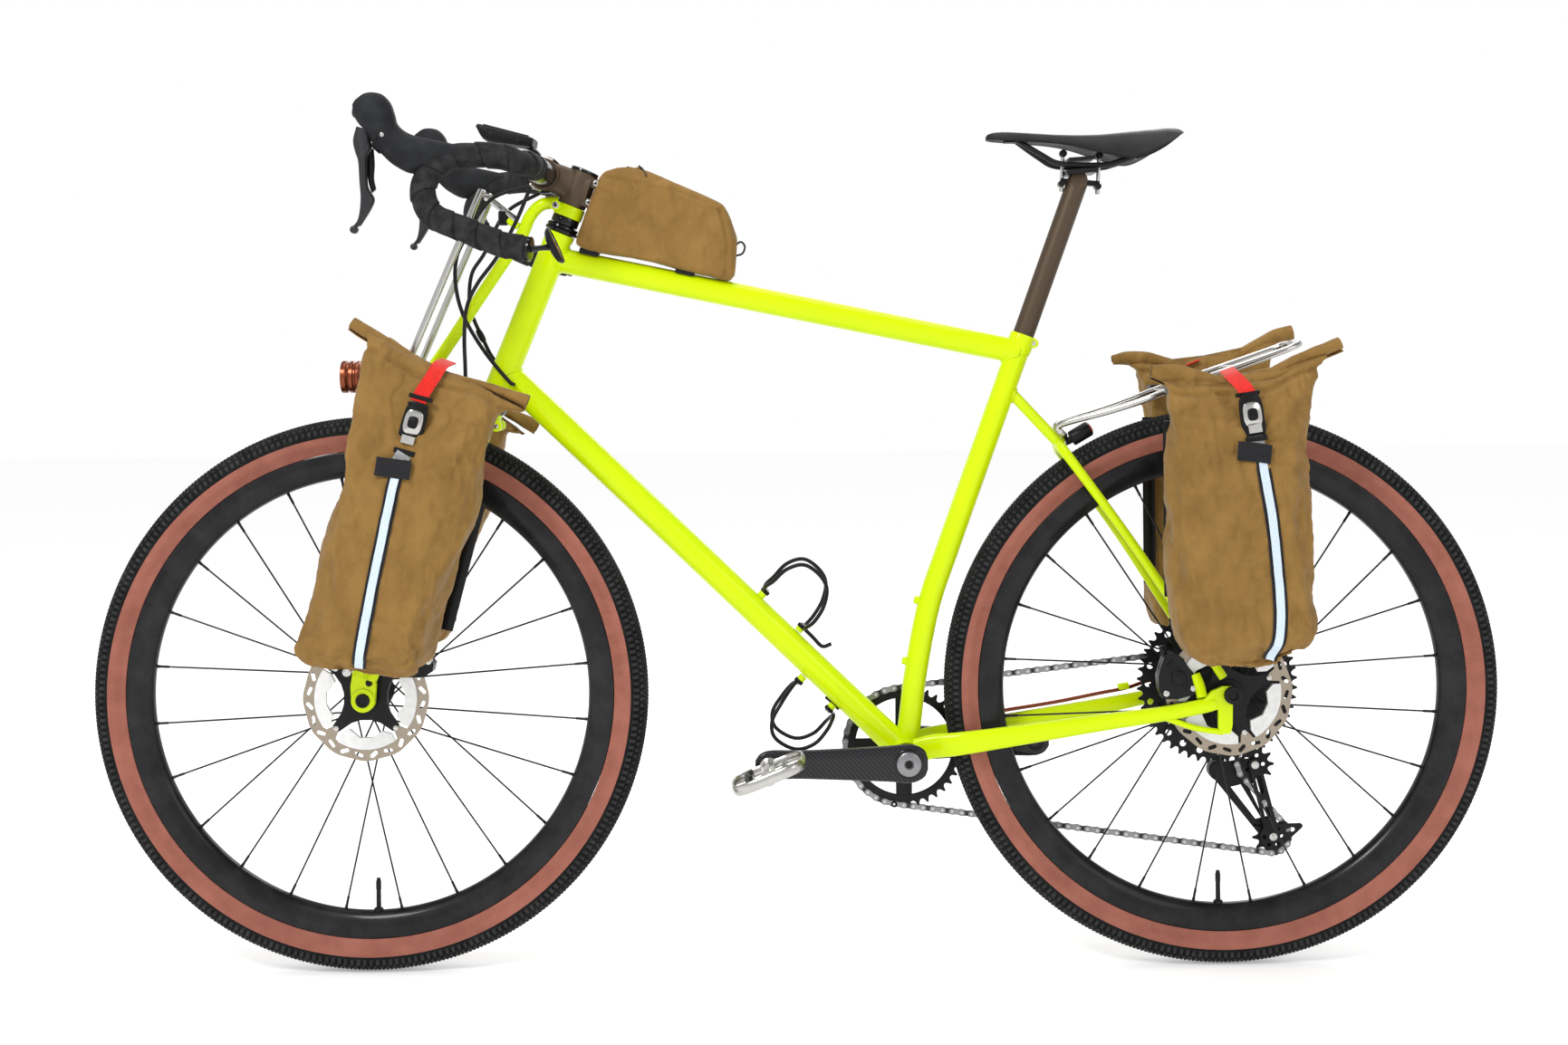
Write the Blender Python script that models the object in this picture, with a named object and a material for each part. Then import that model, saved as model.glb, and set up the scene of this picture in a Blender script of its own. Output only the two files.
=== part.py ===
"""Loaded drop-bar touring bicycle with a truss fork, panniers and disc brakes.

Model units are metres. X runs rearwards, Y to the drive side, Z up from the ground,
and the origin lies midway between the axles. Tables of outlines read from the side view
are in millimetres and go through mm().
"""

import math

import bpy
from mathutils import Matrix, Vector, geometry

# Driving dimensions, metres
GAP = 0.0003
AXLE_X = 0.546
RIM_R = 0.317
RIM_DEPTH = 0.038
RIM_HALF = 0.015
RIM_BED_DEPTH = 0.007
TYRE_HEIGHT = 0.039
TYRE_HALF = 0.0225
TYRE_WALL = 0.0045
TYRE_BEAD = 0.0125
SPOKES = 24
WHEEL_SIDES = 36
STACK_SIDES = 16
SPOKE_R = 0.001
HEAD_TOP = Vector((-0.2983, 0.0, 0.9458))
HEAD_BOTTOM = Vector((-0.3874, 0.0, 0.7283))
HEAD_R = 0.018
STEERER_R = 0.0143
STACK_BORE_R = STEERER_R + GAP
BB = Vector((0.1404, 0.0, 0.2726))
BB_SHELL_R = 0.020
SPINDLE_R = 0.0145
CRANK_LENGTH = 0.175
SEAT_TUBE_R = 0.0148
SEATPOST_R = 0.0136
TOP_TUBE_R = 0.0159
DOWN_TUBE_R = 0.0175
BAR_R = 0.0159
TAPE_R = 0.0155
AXLE_R = 0.006
AXLE_BORE_R = 0.0064
ROTOR_R = 0.080
ROTOR_HALF = 0.0009
ROTOR_SIDE_GAP = 0.0007
ROTOR_RIM_GAP = 0.0025
ROTOR_ARMS = 4
ROTOR_BAND = 0.0145
ROTOR_CORE_R = 0.0300
FRONT_ROTOR_Y = -0.0395
REAR_ROTOR_Y = -0.0557
PISTON_R = 0.0108
PITCH = 0.0127
RING_TEETH = 38
RING_Y = 0.048
COGS = (50, 42, 36, 32, 28, 24, 21, 18, 15, 13, 11)
COG_FIRST_Y = 0.019
COG_STEP = 0.00375
COG_HALF = 0.0008
DRIVEN_COG = 6
FREEHUB_R = 0.016
JOCKEY_TEETH = 11
JOCKEY_UPPER = Vector((0.598, 0.0, 0.246))
JOCKEY_LOWER = Vector((0.621, 0.0, 0.152))
CAGE_PIVOT = Vector((0.554, 0.0, 0.236))
HOOD_Y = 0.200
RACK_LEG_Y = 0.061
FRONT_RACK_R = 0.0045
RAIL_Y = 0.045
REAR_RACK_R = 0.0042
FRONT_BAG_IN_Y = 0.070
FRONT_BAG_DEPTH = 0.108
REAR_BAG_IN_Y = 0.080
REAR_BAG_DEPTH = 0.100
HOOK_SIZE = 0.012

RIM_INNER_R = RIM_R - RIM_DEPTH
TYRE_R = RIM_R + TYRE_HEIGHT
AXLE_Z = TYRE_R
FRONT_AXLE = Vector((-AXLE_X, 0.0, AXLE_Z))
REAR_AXLE = Vector((AXLE_X, 0.0, AXLE_Z))
HEAD_UP = (HEAD_TOP - HEAD_BOTTOM).normalized()
HEAD_LENGTH = (HEAD_TOP - HEAD_BOTTOM).length
CHAIN_Y = COG_FIRST_Y + DRIVEN_COG * COG_STEP
Y_AXIS = Vector((0.0, 1.0, 0.0))
X_AXIS = Vector((1.0, 0.0, 0.0))

# sRGB colours read from the photo
COLOURS = {
    "lime_paint": ((0.66, 0.86, 0.02), 0.0, 0.22),
    "black_rubber": ((0.012, 0.012, 0.013), 0.0, 0.75),
    "black_gloss": ((0.010, 0.010, 0.011), 0.0, 0.25),
    "black_satin": ((0.016, 0.016, 0.017), 0.2, 0.45),
    "steel": ((0.62, 0.62, 0.61), 1.0, 0.28),
    "polished": ((0.72, 0.72, 0.71), 1.0, 0.16),
    "bronze": ((0.075, 0.048, 0.032), 0.8, 0.38),
    "copper_brown": ((0.30, 0.13, 0.07), 0.8, 0.35),
    "olive_fabric": ((0.20, 0.155, 0.06), 0.0, 0.85),
    "dark_steel": ((0.20, 0.20, 0.20), 1.0, 0.35),
}


def clear_scene():
    for old in list(bpy.data.objects):
        bpy.data.objects.remove(old)


def make_materials():
    made = {}
    for name, (colour, metallic, roughness) in COLOURS.items():
        material = bpy.data.materials.new(name)
        material.use_nodes = True
        shader = material.node_tree.nodes["Principled BSDF"]
        shader.inputs["Base Color"].default_value = (*colour, 1.0)
        shader.inputs["Metallic"].default_value = metallic
        shader.inputs["Roughness"].default_value = roughness
        material.diffuse_color = (*colour, 1.0)
        made[name] = material
    return made


def mm(*points):
    """Side-view points (x, z) or (x, z, y) in millimetres as vectors in metres."""
    return [Vector((p[0], p[2] if len(p) > 2 else 0.0, p[1])) / 1000 for p in points]


def mirrored(points):
    return [Vector((p.x, -p.y, p.z)) for p in points]


def on_head_axis(above_top):
    return HEAD_TOP + HEAD_UP * above_top


# Shapes are (points, faces) in world space


def volume_of(points, faces):
    total = 0.0
    for face in faces:
        first = points[face[0]]
        for k in range(1, len(face) - 1):
            total += first.dot(points[face[k]].cross(points[face[k + 1]]))
    return total


def outward(points, faces):
    if volume_of(points, faces) < 0:
        faces = [tuple(reversed(face)) for face in faces]
    return points, faces


def joined(shapes):
    points = []
    faces = []
    for shape_points, shape_faces in shapes:
        start = len(points)
        points.extend(shape_points)
        faces.extend(tuple(i + start for i in face) for face in shape_faces)
    return points, faces


def loft(rings, closed=False):
    """Skin over rings of equal length, capped at both ends unless the rings close on themselves."""
    count = len(rings[0])
    points = [point for ring in rings for point in ring]
    faces = []
    spans = len(rings) if closed else len(rings) - 1
    for i in range(spans):
        a = i * count
        b = ((i + 1) % len(rings)) * count
        for j in range(count):
            k = (j + 1) % count
            faces.append((a + j, a + k, b + k, b + j))
    if not closed:
        last = (len(rings) - 1) * count
        faces.append(tuple(range(count - 1, -1, -1)))
        faces.append(tuple(last + j for j in range(count)))
    return outward(points, faces)


def sweep(path, radius, sides=12, reference=Y_AXIS, closed=False):
    """Tube along a path. A radius is one number, or (side, up) pairs for each point."""
    count = len(path)
    tangents = []
    for i in range(count):
        before = path[i - 1] if i or closed else path[0]
        after = path[(i + 1) % count] if i < count - 1 or closed else path[-1]
        tangents.append((after - before).normalized())
    side = reference - tangents[0] * reference.dot(tangents[0])
    rings = []
    for i, point in enumerate(path):
        side = (side - tangents[i] * side.dot(tangents[i])).normalized()
        up = tangents[i].cross(side)
        size = radius[i] if isinstance(radius, list) else radius
        wide, high = size if isinstance(size, tuple) else (size, size)
        rings.append(
            [
                point
                + side * (wide * math.cos(2 * math.pi * j / sides))
                + up * (high * math.sin(2 * math.pi * j / sides))
                for j in range(sides)
            ]
        )
    return loft(rings, closed)


def axis_frame(axis):
    """Two unit vectors square to an axis, the same for every shape on that axis."""
    axis = axis.normalized()
    first = X_AXIS if abs(axis.x) < 0.9 else Y_AXIS
    first = (first - axis * first.dot(axis)).normalized()
    return first, axis.cross(first)


def ring_shape(centre, axis, profile, segments=16, start=0.0):
    """Solid of revolution from a closed profile of (radius, height) that stays off the axis."""
    u, v = axis_frame(axis)
    axis = axis.normalized()
    rings = []
    for j in range(segments):
        angle = start + 2 * math.pi * j / segments
        out = u * math.cos(angle) + v * math.sin(angle)
        rings.append([centre + out * r + axis * h for r, h in profile])
    return loft(rings, closed=True)


def rod(start, end, radius, sides=12):
    """Solid cylinder, or a cone when radius is a pair."""
    u, v = axis_frame(end - start)
    first, last = radius if isinstance(radius, tuple) else (radius, radius)
    rings = []
    for point, r in ((start, first), (end, last)):
        rings.append(
            [
                point
                + u * (r * math.cos(2 * math.pi * j / sides))
                + v * (r * math.sin(2 * math.pi * j / sides))
                for j in range(sides)
            ]
        )
    return loft(rings)


def pipe(start, end, outer, inner, sides=16):
    axis = end - start
    length = axis.length
    profile = [(inner, 0.0), (outer, 0.0), (outer, length), (inner, length)]
    return ring_shape(start, axis, profile, sides)


def block(centre, size, turn=0.0):
    """Box with sides along X, Y and Z, turned about Y by an angle."""
    c, s = math.cos(turn), math.sin(turn)
    rings = []
    for x in (-0.5, 0.5):
        ring = []
        for y, z in ((-0.5, -0.5), (0.5, -0.5), (0.5, 0.5), (-0.5, 0.5)):
            px, py, pz = x * size[0], y * size[1], z * size[2]
            ring.append(centre + Vector((px * c + pz * s, py, pz * c - px * s)))
        rings.append(ring)
    return loft(rings)


def plate(loops, low, high, flat=False):
    """Plate with holes. Loops are (x, z) pairs extruded along Y, or (x, y) along Z when flat."""
    flat_loops = [[Vector((a, b, 0.0)) for a, b in loop] for loop in loops]
    pairs = [pair for loop in loops for pair in loop]
    count = len(pairs)
    points = []
    for level in (low, high):
        for a, b in pairs:
            points.append(Vector((a, b, level) if flat else (a, level, b)))
    faces = []
    for a, b, c in geometry.tessellate_polygon(flat_loops):
        faces.append(facing(points, (a, b, c), flat, -1))
        faces.append(facing(points, (a + count, b + count, c + count), flat, 1))
    start = 0
    for n, loop in enumerate(loops):
        size = len(loop)
        area = sum(
            loop[i][0] * loop[(i + 1) % size][1] - loop[(i + 1) % size][0] * loop[i][1]
            for i in range(size)
        )
        forward = (area > 0) == (n == 0)
        if not flat:
            forward = not forward
        for i in range(size):
            a = start + i
            b = start + (i + 1) % size
            quad = (a, b, b + count, a + count)
            faces.append(quad if forward else tuple(reversed(quad)))
        start += size
    return points, faces


def facing(points, face, flat, sign):
    a, b, c = (points[i] for i in face)
    normal = (b - a).cross(c - a)
    along = normal.z if flat else normal.y
    return face if along * sign > 0 else tuple(reversed(face))


def circle(cx, cz, radius, count, start=0.0):
    return [
        (
            cx + radius * math.cos(start + 2 * math.pi * k / count),
            cz + radius * math.sin(start + 2 * math.pi * k / count),
        )
        for k in range(count)
    ]


def arc(cx, cz, radius, first, last, count):
    made = []
    for k in range(count):
        angle = first + (last - first) * k / (count - 1)
        made.append((cx + radius * math.cos(angle), cz + radius * math.sin(angle)))
    return made


def pairs(*points):
    return [(x / 1000, z / 1000) for x, z in points]


# Nodes and their Boolean helpers


def pivot(name, location, axis=None, parent=None):
    """Empty on a joint axis. Its Z runs along the axis."""
    empty = bpy.data.objects.new(name, None)
    empty.empty_display_size = 0.03
    bpy.context.collection.objects.link(empty)
    turn = Matrix.Identity(4)
    if axis is not None:
        u, v = axis_frame(axis)
        w = axis.normalized()
        turn = Matrix((u, v, w)).transposed().to_4x4()
    frame = Matrix.Translation(location) @ turn
    if parent is not None:
        empty.parent = parent[0]
        empty.matrix_parent_inverse = parent[1].inverted()
    empty.matrix_basis = frame
    return empty, frame


def add_object(name, shape, place=None):
    points, faces = shape
    back = place[1].inverted() if place else Matrix.Identity(4)
    mesh = bpy.data.meshes.new(name)
    mesh.from_pydata([back @ point for point in points], [], faces)
    mesh.polygons.foreach_set("use_smooth", [True] * len(mesh.polygons))
    mesh.set_sharp_from_angle(angle=math.radians(35))
    obj = bpy.data.objects.new(name, mesh)
    bpy.context.collection.objects.link(obj)
    if place:
        obj.parent = place[0]
    return obj


def node(name, shape, material, place):
    obj = add_object(name, shape, place)
    obj.data.materials.append(MATERIALS[material])
    return obj


def boolean(obj, operation, shape):
    count = len(obj.modifiers)
    helper = add_object(f"{obj.name}_{operation.lower()}_{count}", shape)
    helper.hide_render = True
    helper.display_type = "WIRE"
    modifier = obj.modifiers.new(f"{operation.lower()}_{count}", "BOOLEAN")
    modifier.operation = operation
    modifier.solver = "EXACT"
    modifier.object = helper


def unite(obj, *shapes):
    for shape in shapes:
        boolean(obj, "UNION", shape)


def cut(obj, *shapes):
    for shape in shapes:
        boolean(obj, "DIFFERENCE", shape)


# Frame


def seat_tube_path():
    return mm(
        (296.8, 810),
        (248, 676),
        (199, 541.6),
        (172, 463.6),
        (154, 375),
        (147, 320),
        (140.4, 272.6),
    )


def seat_tube_cutter():
    return sweep(seat_tube_path(), SEAT_TUBE_R + GAP, 16)


def head_cutter():
    return rod(on_head_axis(0.02), on_head_axis(-HEAD_LENGTH - 0.02), HEAD_R + GAP, 24)


def frame_tubes(place):
    head = pipe(HEAD_TOP, HEAD_BOTTOM, HEAD_R, 0.0165, 24)
    node("head_tube", head, "lime_paint", place)

    top_line = mm((-300, 911.8), (284, 789.5))
    top_tube = node(
        "top_tube", pipe(*top_line, TOP_TUBE_R, TOP_TUBE_R - 0.0018, 16), "lime_paint", place
    )
    cut(top_tube, head_cutter(), seat_tube_cutter())

    down_line = mm((-371, 767), (134, 278.8))
    down_tube = node(
        "down_tube", pipe(*down_line, DOWN_TUBE_R, DOWN_TUBE_R - 0.0018, 16), "lime_paint", place
    )
    shell = rod(BB + Y_AXIS * 0.05, BB - Y_AXIS * 0.05, BB_SHELL_R + GAP, 24)
    cut(down_tube, head_cutter(), shell, seat_tube_cutter())

    path = seat_tube_path()
    seat_tube = node("seat_tube", sweep(path, SEAT_TUBE_R, 12), "lime_paint", place)
    shell = rod(BB + Y_AXIS * 0.034, BB - Y_AXIS * 0.034, BB_SHELL_R, 24)
    cups = rod(BB + Y_AXIS * 0.044, BB - Y_AXIS * 0.044, 0.0185, 20)
    ear = block(mm((309, 799))[0], (0.022, 0.016, 0.014), math.radians(20))
    unite(seat_tube, shell, cups, ear)
    bore_path = [path[0] + (path[0] - path[1]).normalized() * 0.03, *path[1:]]
    for boss in mm((154.5, 470), (138.4, 392)):
        unite(seat_tube, rod(boss, boss + X_AXIS * 0.012, 0.0042, 8))
    cut(seat_tube, sweep(bore_path, SEATPOST_R + GAP, 16))
    cut(seat_tube, rod(BB + Y_AXIS * 0.06, BB - Y_AXIS * 0.06, SPINDLE_R + 0.0005, 20))


def chainstay_line():
    """Centre (x, z, |y|) and half sizes (side, up) along a chainstay, in millimetres."""
    return (
        ((152, 280, 25), (6.5, 15)),
        ((175, 286, 27), (7, 15.5)),
        ((205, 290, 35), (7, 15)),
        ((280, 302, 45), (7.5, 13)),
        ((380, 318, 53), (8, 11)),
        ((460, 331, 65), (7.5, 9.5)),
        ((515, 343, 74), (6, 9)),
        ((528, 347, 74.6), (3.2, 8)),
    )


def dropout_outline():
    return pairs(
        (516, 348),
        (524, 364),
        (534, 372),
        (552, 372),
        (562, 362),
        (564, 340),
        (560, 318),
        (548, 306),
        (529, 306),
        (526, 330),
    )


def chainstay(name, side, place):
    line = chainstay_line()
    path = mm(*[(x, z, side * y) for (x, z, y), _ in line])
    sizes = [(a / 1000, b / 1000) for _, (a, b) in line]
    stay = node(name, sweep(path, sizes, 12), "lime_paint", place)
    low, high = sorted((side * 0.0713, side * 0.078))
    hole = circle(AXLE_X, AXLE_Z, AXLE_BORE_R, 16)
    unite(stay, plate([dropout_outline(), hole], low, high))
    unite(stay, sweep(mm((463, 326, side * 65), (500, 314, side * 70), (534, 311, side * 74)), 0.004, 8))
    cut(stay, rod(BB + Y_AXIS * 0.05, BB - Y_AXIS * 0.05, BB_SHELL_R + GAP, 24))
    cut(stay, seat_tube_cutter())


def seatstays(place):
    half = mm(
        (340, 669, 0),
        (341.5, 667, 14),
        (345, 660, 27),
        (356, 645, 32.5),
        (421, 554, 44),
        (480, 464, 60),
        (538, 374, 70),
    )
    sizes = [0.007, 0.007, 0.0065, 0.006, 0.0055, 0.0055, 0.0055]
    path = [*reversed(mirrored(half[1:])), *half]
    radii = [*reversed(sizes[1:]), *sizes]
    stays = node("seatstays", sweep(path, radii, 8, X_AXIS), "lime_paint", place)
    unite(stays, rod(mm((280, 736))[0], mm((342, 669))[0], 0.007, 12))
    cut(stays, seat_tube_cutter())
    for side in (-1, 1):
        cut(stays, block(mm((540, 360, side * 72))[0], (0.06, 0.02, 0.0248)))


def headset(place):
    upper = [(STACK_BORE_R + GAP, 0.0003), (0.0205, 0.0003), (0.021, 0.008), (0.0185, 0.0118), (STACK_BORE_R + GAP, 0.0118)]
    node("headset_upper_cup", ring_shape(HEAD_TOP, HEAD_UP, upper, STACK_SIDES), "black_satin", place)
    lower = [(STACK_BORE_R + GAP, -0.0003), (0.0205, -0.0003), (0.021, -0.006), (0.019, -0.010), (STACK_BORE_R + GAP, -0.010)]
    node("headset_lower_cup", ring_shape(HEAD_BOTTOM, HEAD_UP, lower, STACK_SIDES), "black_satin", place)


# Fork and its strut


def fork(place):
    half = mm(
        (-397, 706, 0),
        (-399, 701, 20),
        (-404, 688, 37),
        (-418, 655, 45),
        (-478, 516, 50),
        (-537, 381, 55),
    )
    sizes = [0.011, 0.0105, 0.0095, 0.009, 0.0085, 0.0078]
    path = [*reversed(mirrored(half[1:])), *half]
    radii = [*reversed(sizes[1:]), *sizes]
    blades = node("fork", sweep(path, radii, 8, X_AXIS), "lime_paint", place)
    steerer = pipe(on_head_axis(-HEAD_LENGTH - 0.026), on_head_axis(0.0835), STEERER_R, 0.0118, STACK_SIDES)
    crown = rod(on_head_axis(-HEAD_LENGTH - 0.028), on_head_axis(-HEAD_LENGTH - 0.0103), 0.018, 16)
    outline = pairs(
        (-571, 391),
        (-533, 391),
        (-529, 372),
        (-532, 350),
        (-538, 342.5),
        (-546, 340.5),
        (-554, 342.5),
        (-560, 348),
        (-563, 360),
        (-571, 376),
    )
    hole = circle(-AXLE_X, AXLE_Z, AXLE_BORE_R, 16)
    ends = joined([plate([outline, hole], -0.060, -0.0503), plate([outline, hole], 0.0503, 0.060)])
    unite(blades, crown, steerer, ends)


def strut_path():
    return mm(
        (-299, 986.5),
        (-322, 983),
        (-337, 968),
        (-348, 944),
        (-370, 912),
        (-407, 858),
        (-437, 813),
        (-460, 780),
        (-472, 764),
    )


def fork_strut(place):
    half = mm(
        (-472, 766, 0),
        (-474, 762, 20),
        (-480, 745, 36),
        (-490, 700, 43),
        (-515, 570, 51),
        (-551, 385, 55.3),
    )
    sizes = [0.009, 0.009, 0.009, 0.009, 0.009, 0.0085]
    path = [*reversed(mirrored(half[1:])), *half]
    radii = [*reversed(sizes[1:]), *sizes]
    legs = node("fork_strut", sweep(path, radii, 8, X_AXIS), "lime_paint", place)
    collar = [
        (STACK_BORE_R, 0.0121),
        (0.017, 0.0121),
        (0.017, 0.0255),
        (0.019, 0.0255),
        (0.019, 0.0379),
        (STACK_BORE_R, 0.0379),
    ]
    ear_at = on_head_axis(0.0318) + Vector((-0.0130, -0.0150, 0.0053))
    ear = block(ear_at, (0.016, 0.014, 0.010), math.radians(22.3))
    unite(legs, sweep(strut_path(), 0.008, 12), ring_shape(HEAD_TOP, HEAD_UP, collar, STACK_SIDES), ear)
    cut(legs, rod(on_head_axis(0.005), on_head_axis(0.045), STACK_BORE_R, STACK_SIDES))
    cut(legs, rod(on_head_axis(0.0382), on_head_axis(0.06), 0.0205, 20))
    ends = [block(mm((-546, 380, side * 55))[0], (0.06, 0.03, 0.0228)) for side in (-1, 1)]
    cut(legs, joined(ends))


# Cockpit


def stem(place):
    bar = mm((-317, 1021))[0]
    clamp = [(STACK_BORE_R, 0.0385), (0.0175, 0.0385), (0.0175, 0.0435), (0.0185, 0.0437), (0.0185, 0.084), (0.013, 0.084), (0.013, 0.0837), (STACK_BORE_R, 0.0837)]
    body = node("stem", ring_shape(HEAD_TOP, HEAD_UP, clamp, STACK_SIDES), "bronze", place)
    cap = rod(on_head_axis(0.0838), on_head_axis(0.088), (0.0165, 0.0145), STACK_SIDES)
    forward = (bar - on_head_axis(0.0627)).normalized()
    reach = sweep([on_head_axis(0.0627) + forward * 0.012, bar - forward * 0.008], (0.0145, 0.014), 12)
    grip = rod(bar - Y_AXIS * 0.021, bar + Y_AXIS * 0.021, 0.0205, 24)
    unite(body, reach, grip, cap)
    cut(body, rod(bar - Y_AXIS * 0.03, bar + Y_AXIS * 0.03, BAR_R + GAP, 24))
    cut(body, rod(on_head_axis(0.03), on_head_axis(0.0838), STACK_BORE_R, STACK_SIDES))


def bar_half():
    return mm(
        (-317, 1021, 0),
        (-317, 1021, 22),
        (-317, 1021, 48),
        (-317, 1021, 62),
        (-317, 1021, 150),
        (-319, 1020, 172),
        (-329, 1021, 188),
        (-348, 1027, 195),
        (-376, 1029, 198),
        (-405, 1026, 200),
        (-424, 1016, 202),
        (-436, 1000, 204),
        (-439, 984, 206),
        (-434, 966, 209),
        (-420, 952, 213),
        (-398, 943, 217),
        (-370, 931, 222),
        (-340, 920, 227),
        (-309, 914, 232),
    )


def bar_path():
    half = bar_half()
    return [*reversed(mirrored(half[1:])), *half]


def bar_shape(extra):
    half = [BAR_R, BAR_R, 0.0135, TAPE_R] + [TAPE_R] * (len(bar_half()) - 4)
    radii = [r + extra for r in [*reversed(half[1:]), *half]]
    return sweep(bar_path(), radii, 8, X_AXIS)


def grip_cutter(side):
    part = bar_half()[7:15]
    part = part if side > 0 else mirrored(part)
    return sweep(part, TAPE_R + 0.0009, 12, X_AXIS)


def handlebar(place):
    node("handlebar", bar_shape(0.0), "black_rubber", place)


def hood(name, side, place):
    path = mm(
        (-420, 1014, side * 201),
        (-450, 1030, side * 1000 * HOOD_Y),
        (-474, 1049, side * 1000 * HOOD_Y),
        (-493, 1072, side * 1000 * HOOD_Y),
        (-501, 1096, side * 1000 * HOOD_Y),
        (-503, 1104, side * 1000 * HOOD_Y),
    )
    sizes = [(0.013, 0.019), (0.0145, 0.021), (0.015, 0.0215), (0.014, 0.019), (0.011, 0.0145), (0.006, 0.008)]
    grip = node(name, sweep(path, sizes, 12), "black_rubber", place)
    cut(grip, grip_cutter(side))
    cut(grip, block(mm((-508, 1036, side * 1000 * HOOD_Y))[0], (0.044, 0.0106, 0.056)))


def brake_lever(name, side, place):
    path = mm(
        (-495, 1053, side * 1000 * HOOD_Y),
        (-505, 1050, side * 1000 * HOOD_Y),
        (-514, 1036, side * 1000 * HOOD_Y),
        (-514, 1002, side * 1000 * HOOD_Y),
        (-511, 984, side * 1000 * HOOD_Y),
        (-513, 964, side * 1000 * HOOD_Y),
        (-521, 944, side * 1000 * HOOD_Y),
    )
    sizes = [(0.0042, 0.006), (0.0045, 0.0065), (0.006, 0.006), (0.007, 0.0045), (0.007, 0.004), (0.0065, 0.0035), (0.005, 0.003)]
    node(name, sweep(path, sizes, 8), "black_satin", place)


def bike_computer(place):
    slab = block(mm((-369.5, 1077.5))[0], (0.0784, 0.050, 0.014), math.radians(17))
    unit = node("bike_computer", slab, "black_gloss", place)
    unite(unit, sweep(mm((-322, 1030), (-333, 1052), (-352, 1072)), 0.006, 10))
    bar = mm((-317, 1021))[0]
    cut(unit, rod(bar - Y_AXIS * 0.03, bar + Y_AXIS * 0.03, 0.0205 + GAP, 24))


def mirror_shape(place):
    centre = mm((-282, 918, -224))[0]
    face = Vector((0.911, 0.0, 0.412))
    disc = rod(centre - face * 0.004, centre + face * 0.004, 0.023, 20)
    glass = node("mirror", disc, "black_gloss", place)
    stub = sweep(mm((-307.9, 914, -231.8), (-304, 914, -231.5), (-284, 917, -227)), [0.0022, 0.004, 0.004], 8)
    unite(glass, stub)


# Racks, lamps and bags


def front_rack_path():
    half = mm(
        (-394, 996, 0),
        (-394, 996, 34),
        (-396, 990, 46),
        (-400, 982, 48),
        (-482, 793, 48),
        (-505, 738, 54),
        (-525, 640, 1000 * RACK_LEG_Y),
        (-551, 480, 1000 * RACK_LEG_Y),
        (-562, 425, 59),
        (-566, 392, 57),
    )
    return [*reversed(mirrored(half[1:])), *half]


def front_rack(place):
    rack = node("front_rack", sweep(front_rack_path(), FRONT_RACK_R, 8, X_AXIS), "polished", place)
    arm = sweep(mm((-394, 994), (-376, 981), (-350, 961)), 0.005, 10)
    cross = rod(mm((-494, 764, -51))[0], mm((-494, 764, 51))[0], 0.004, 8)
    unite(rack, arm, cross)
    cut(rack, sweep(strut_path(), 0.008 + GAP, 12))


def headlamp(place):
    start = mm((-580, 763.5))[0]
    profile = [(0.0205, 0.0), (0.0205, 0.006), (0.0185, 0.009), (0.0205, 0.011), (0.0205, 0.022), (0.014, 0.027)]
    rings = []
    u, v = axis_frame(X_AXIS)
    for r, h in profile:
        ring = [start + X_AXIS * h + (u * math.cos(a) + v * math.sin(a)) * r for a in [2 * math.pi * k / 20 for k in range(20)]]
        rings.append(ring)
    lamp = node("headlamp", loft(rings), "copper_brown", place)
    bracket = sweep(mm((-558, 763), (-530, 765), (-496, 764)), (0.006, 0.003), 8)
    unite(lamp, bracket)
    cut(lamp, rod(mm((-494, 764, -51))[0], mm((-494, 764, 51))[0], 0.004 + GAP, 8))


def bag_shape(outline, low, high, inset=0.955):
    """Padded bag: a side outline in millimetres with rounded inner and outer faces."""
    cx = sum(x for x, _ in outline) / len(outline)
    cz = sum(z for _, z in outline) / len(outline)
    step = 0.010 if high > low else -0.010
    rings = []
    for y, scale in ((low, inset), (low + step, 1.0), (high - step, 1.0), (high, inset)):
        ring = [Vector(((cx + (x - cx) * scale) / 1000, y, (cz + (z - cz) * scale) / 1000)) for x, z in outline]
        rings.append(ring)
    return loft(rings)


FRONT_BAG = (
    (-531, 839),
    (-537, 820),
    (-519, 784),
    (-527, 749),
    (-541, 703),
    (-551, 656),
    (-572, 584),
    (-593, 515),
    (-605, 462),
    (-603, 437),
    (-588, 424),
    (-537, 416),
    (-477, 403),
    (-456, 413),
    (-441, 441),
    (-410, 543),
    (-392, 603),
    (-373, 672),
    (-362, 712),
    (-330, 722),
    (-326, 740),
    (-375, 757),
    (-420, 764),
    (-461, 793),
)
REAR_BAG = (
    (431, 757),
    (437, 772),
    (518, 753),
    (590, 778),
    (656, 802),
    (656, 785),
    (639, 759),
    (626, 697),
    (629, 575),
    (632, 458),
    (615, 429),
    (556, 406),
    (533, 402),
    (483, 416),
    (463, 448),
    (454, 635),
    (455, 723),
    (449, 744),
)
TOP_BAG = (
    (-279.4, 927.3),
    (-242, 1020),
    (-197, 1031),
    (-175, 1017),
    (-113, 991),
    (-88, 978),
    (-74, 958),
    (-70, 909),
    (-79, 886),
    (-148, 901),
    (-250, 922),
)


def hook(x, z, side, rail_face, bag_face):
    """Block from just off a rack tube into a bag's inner face, at a side-view point in millimetres."""
    start = rail_face + GAP
    end = bag_face + 0.0036
    centre = mm((x, z, side * (start + end) * 500))[0]
    return block(centre, (HOOK_SIZE, end - start, HOOK_SIZE))


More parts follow.
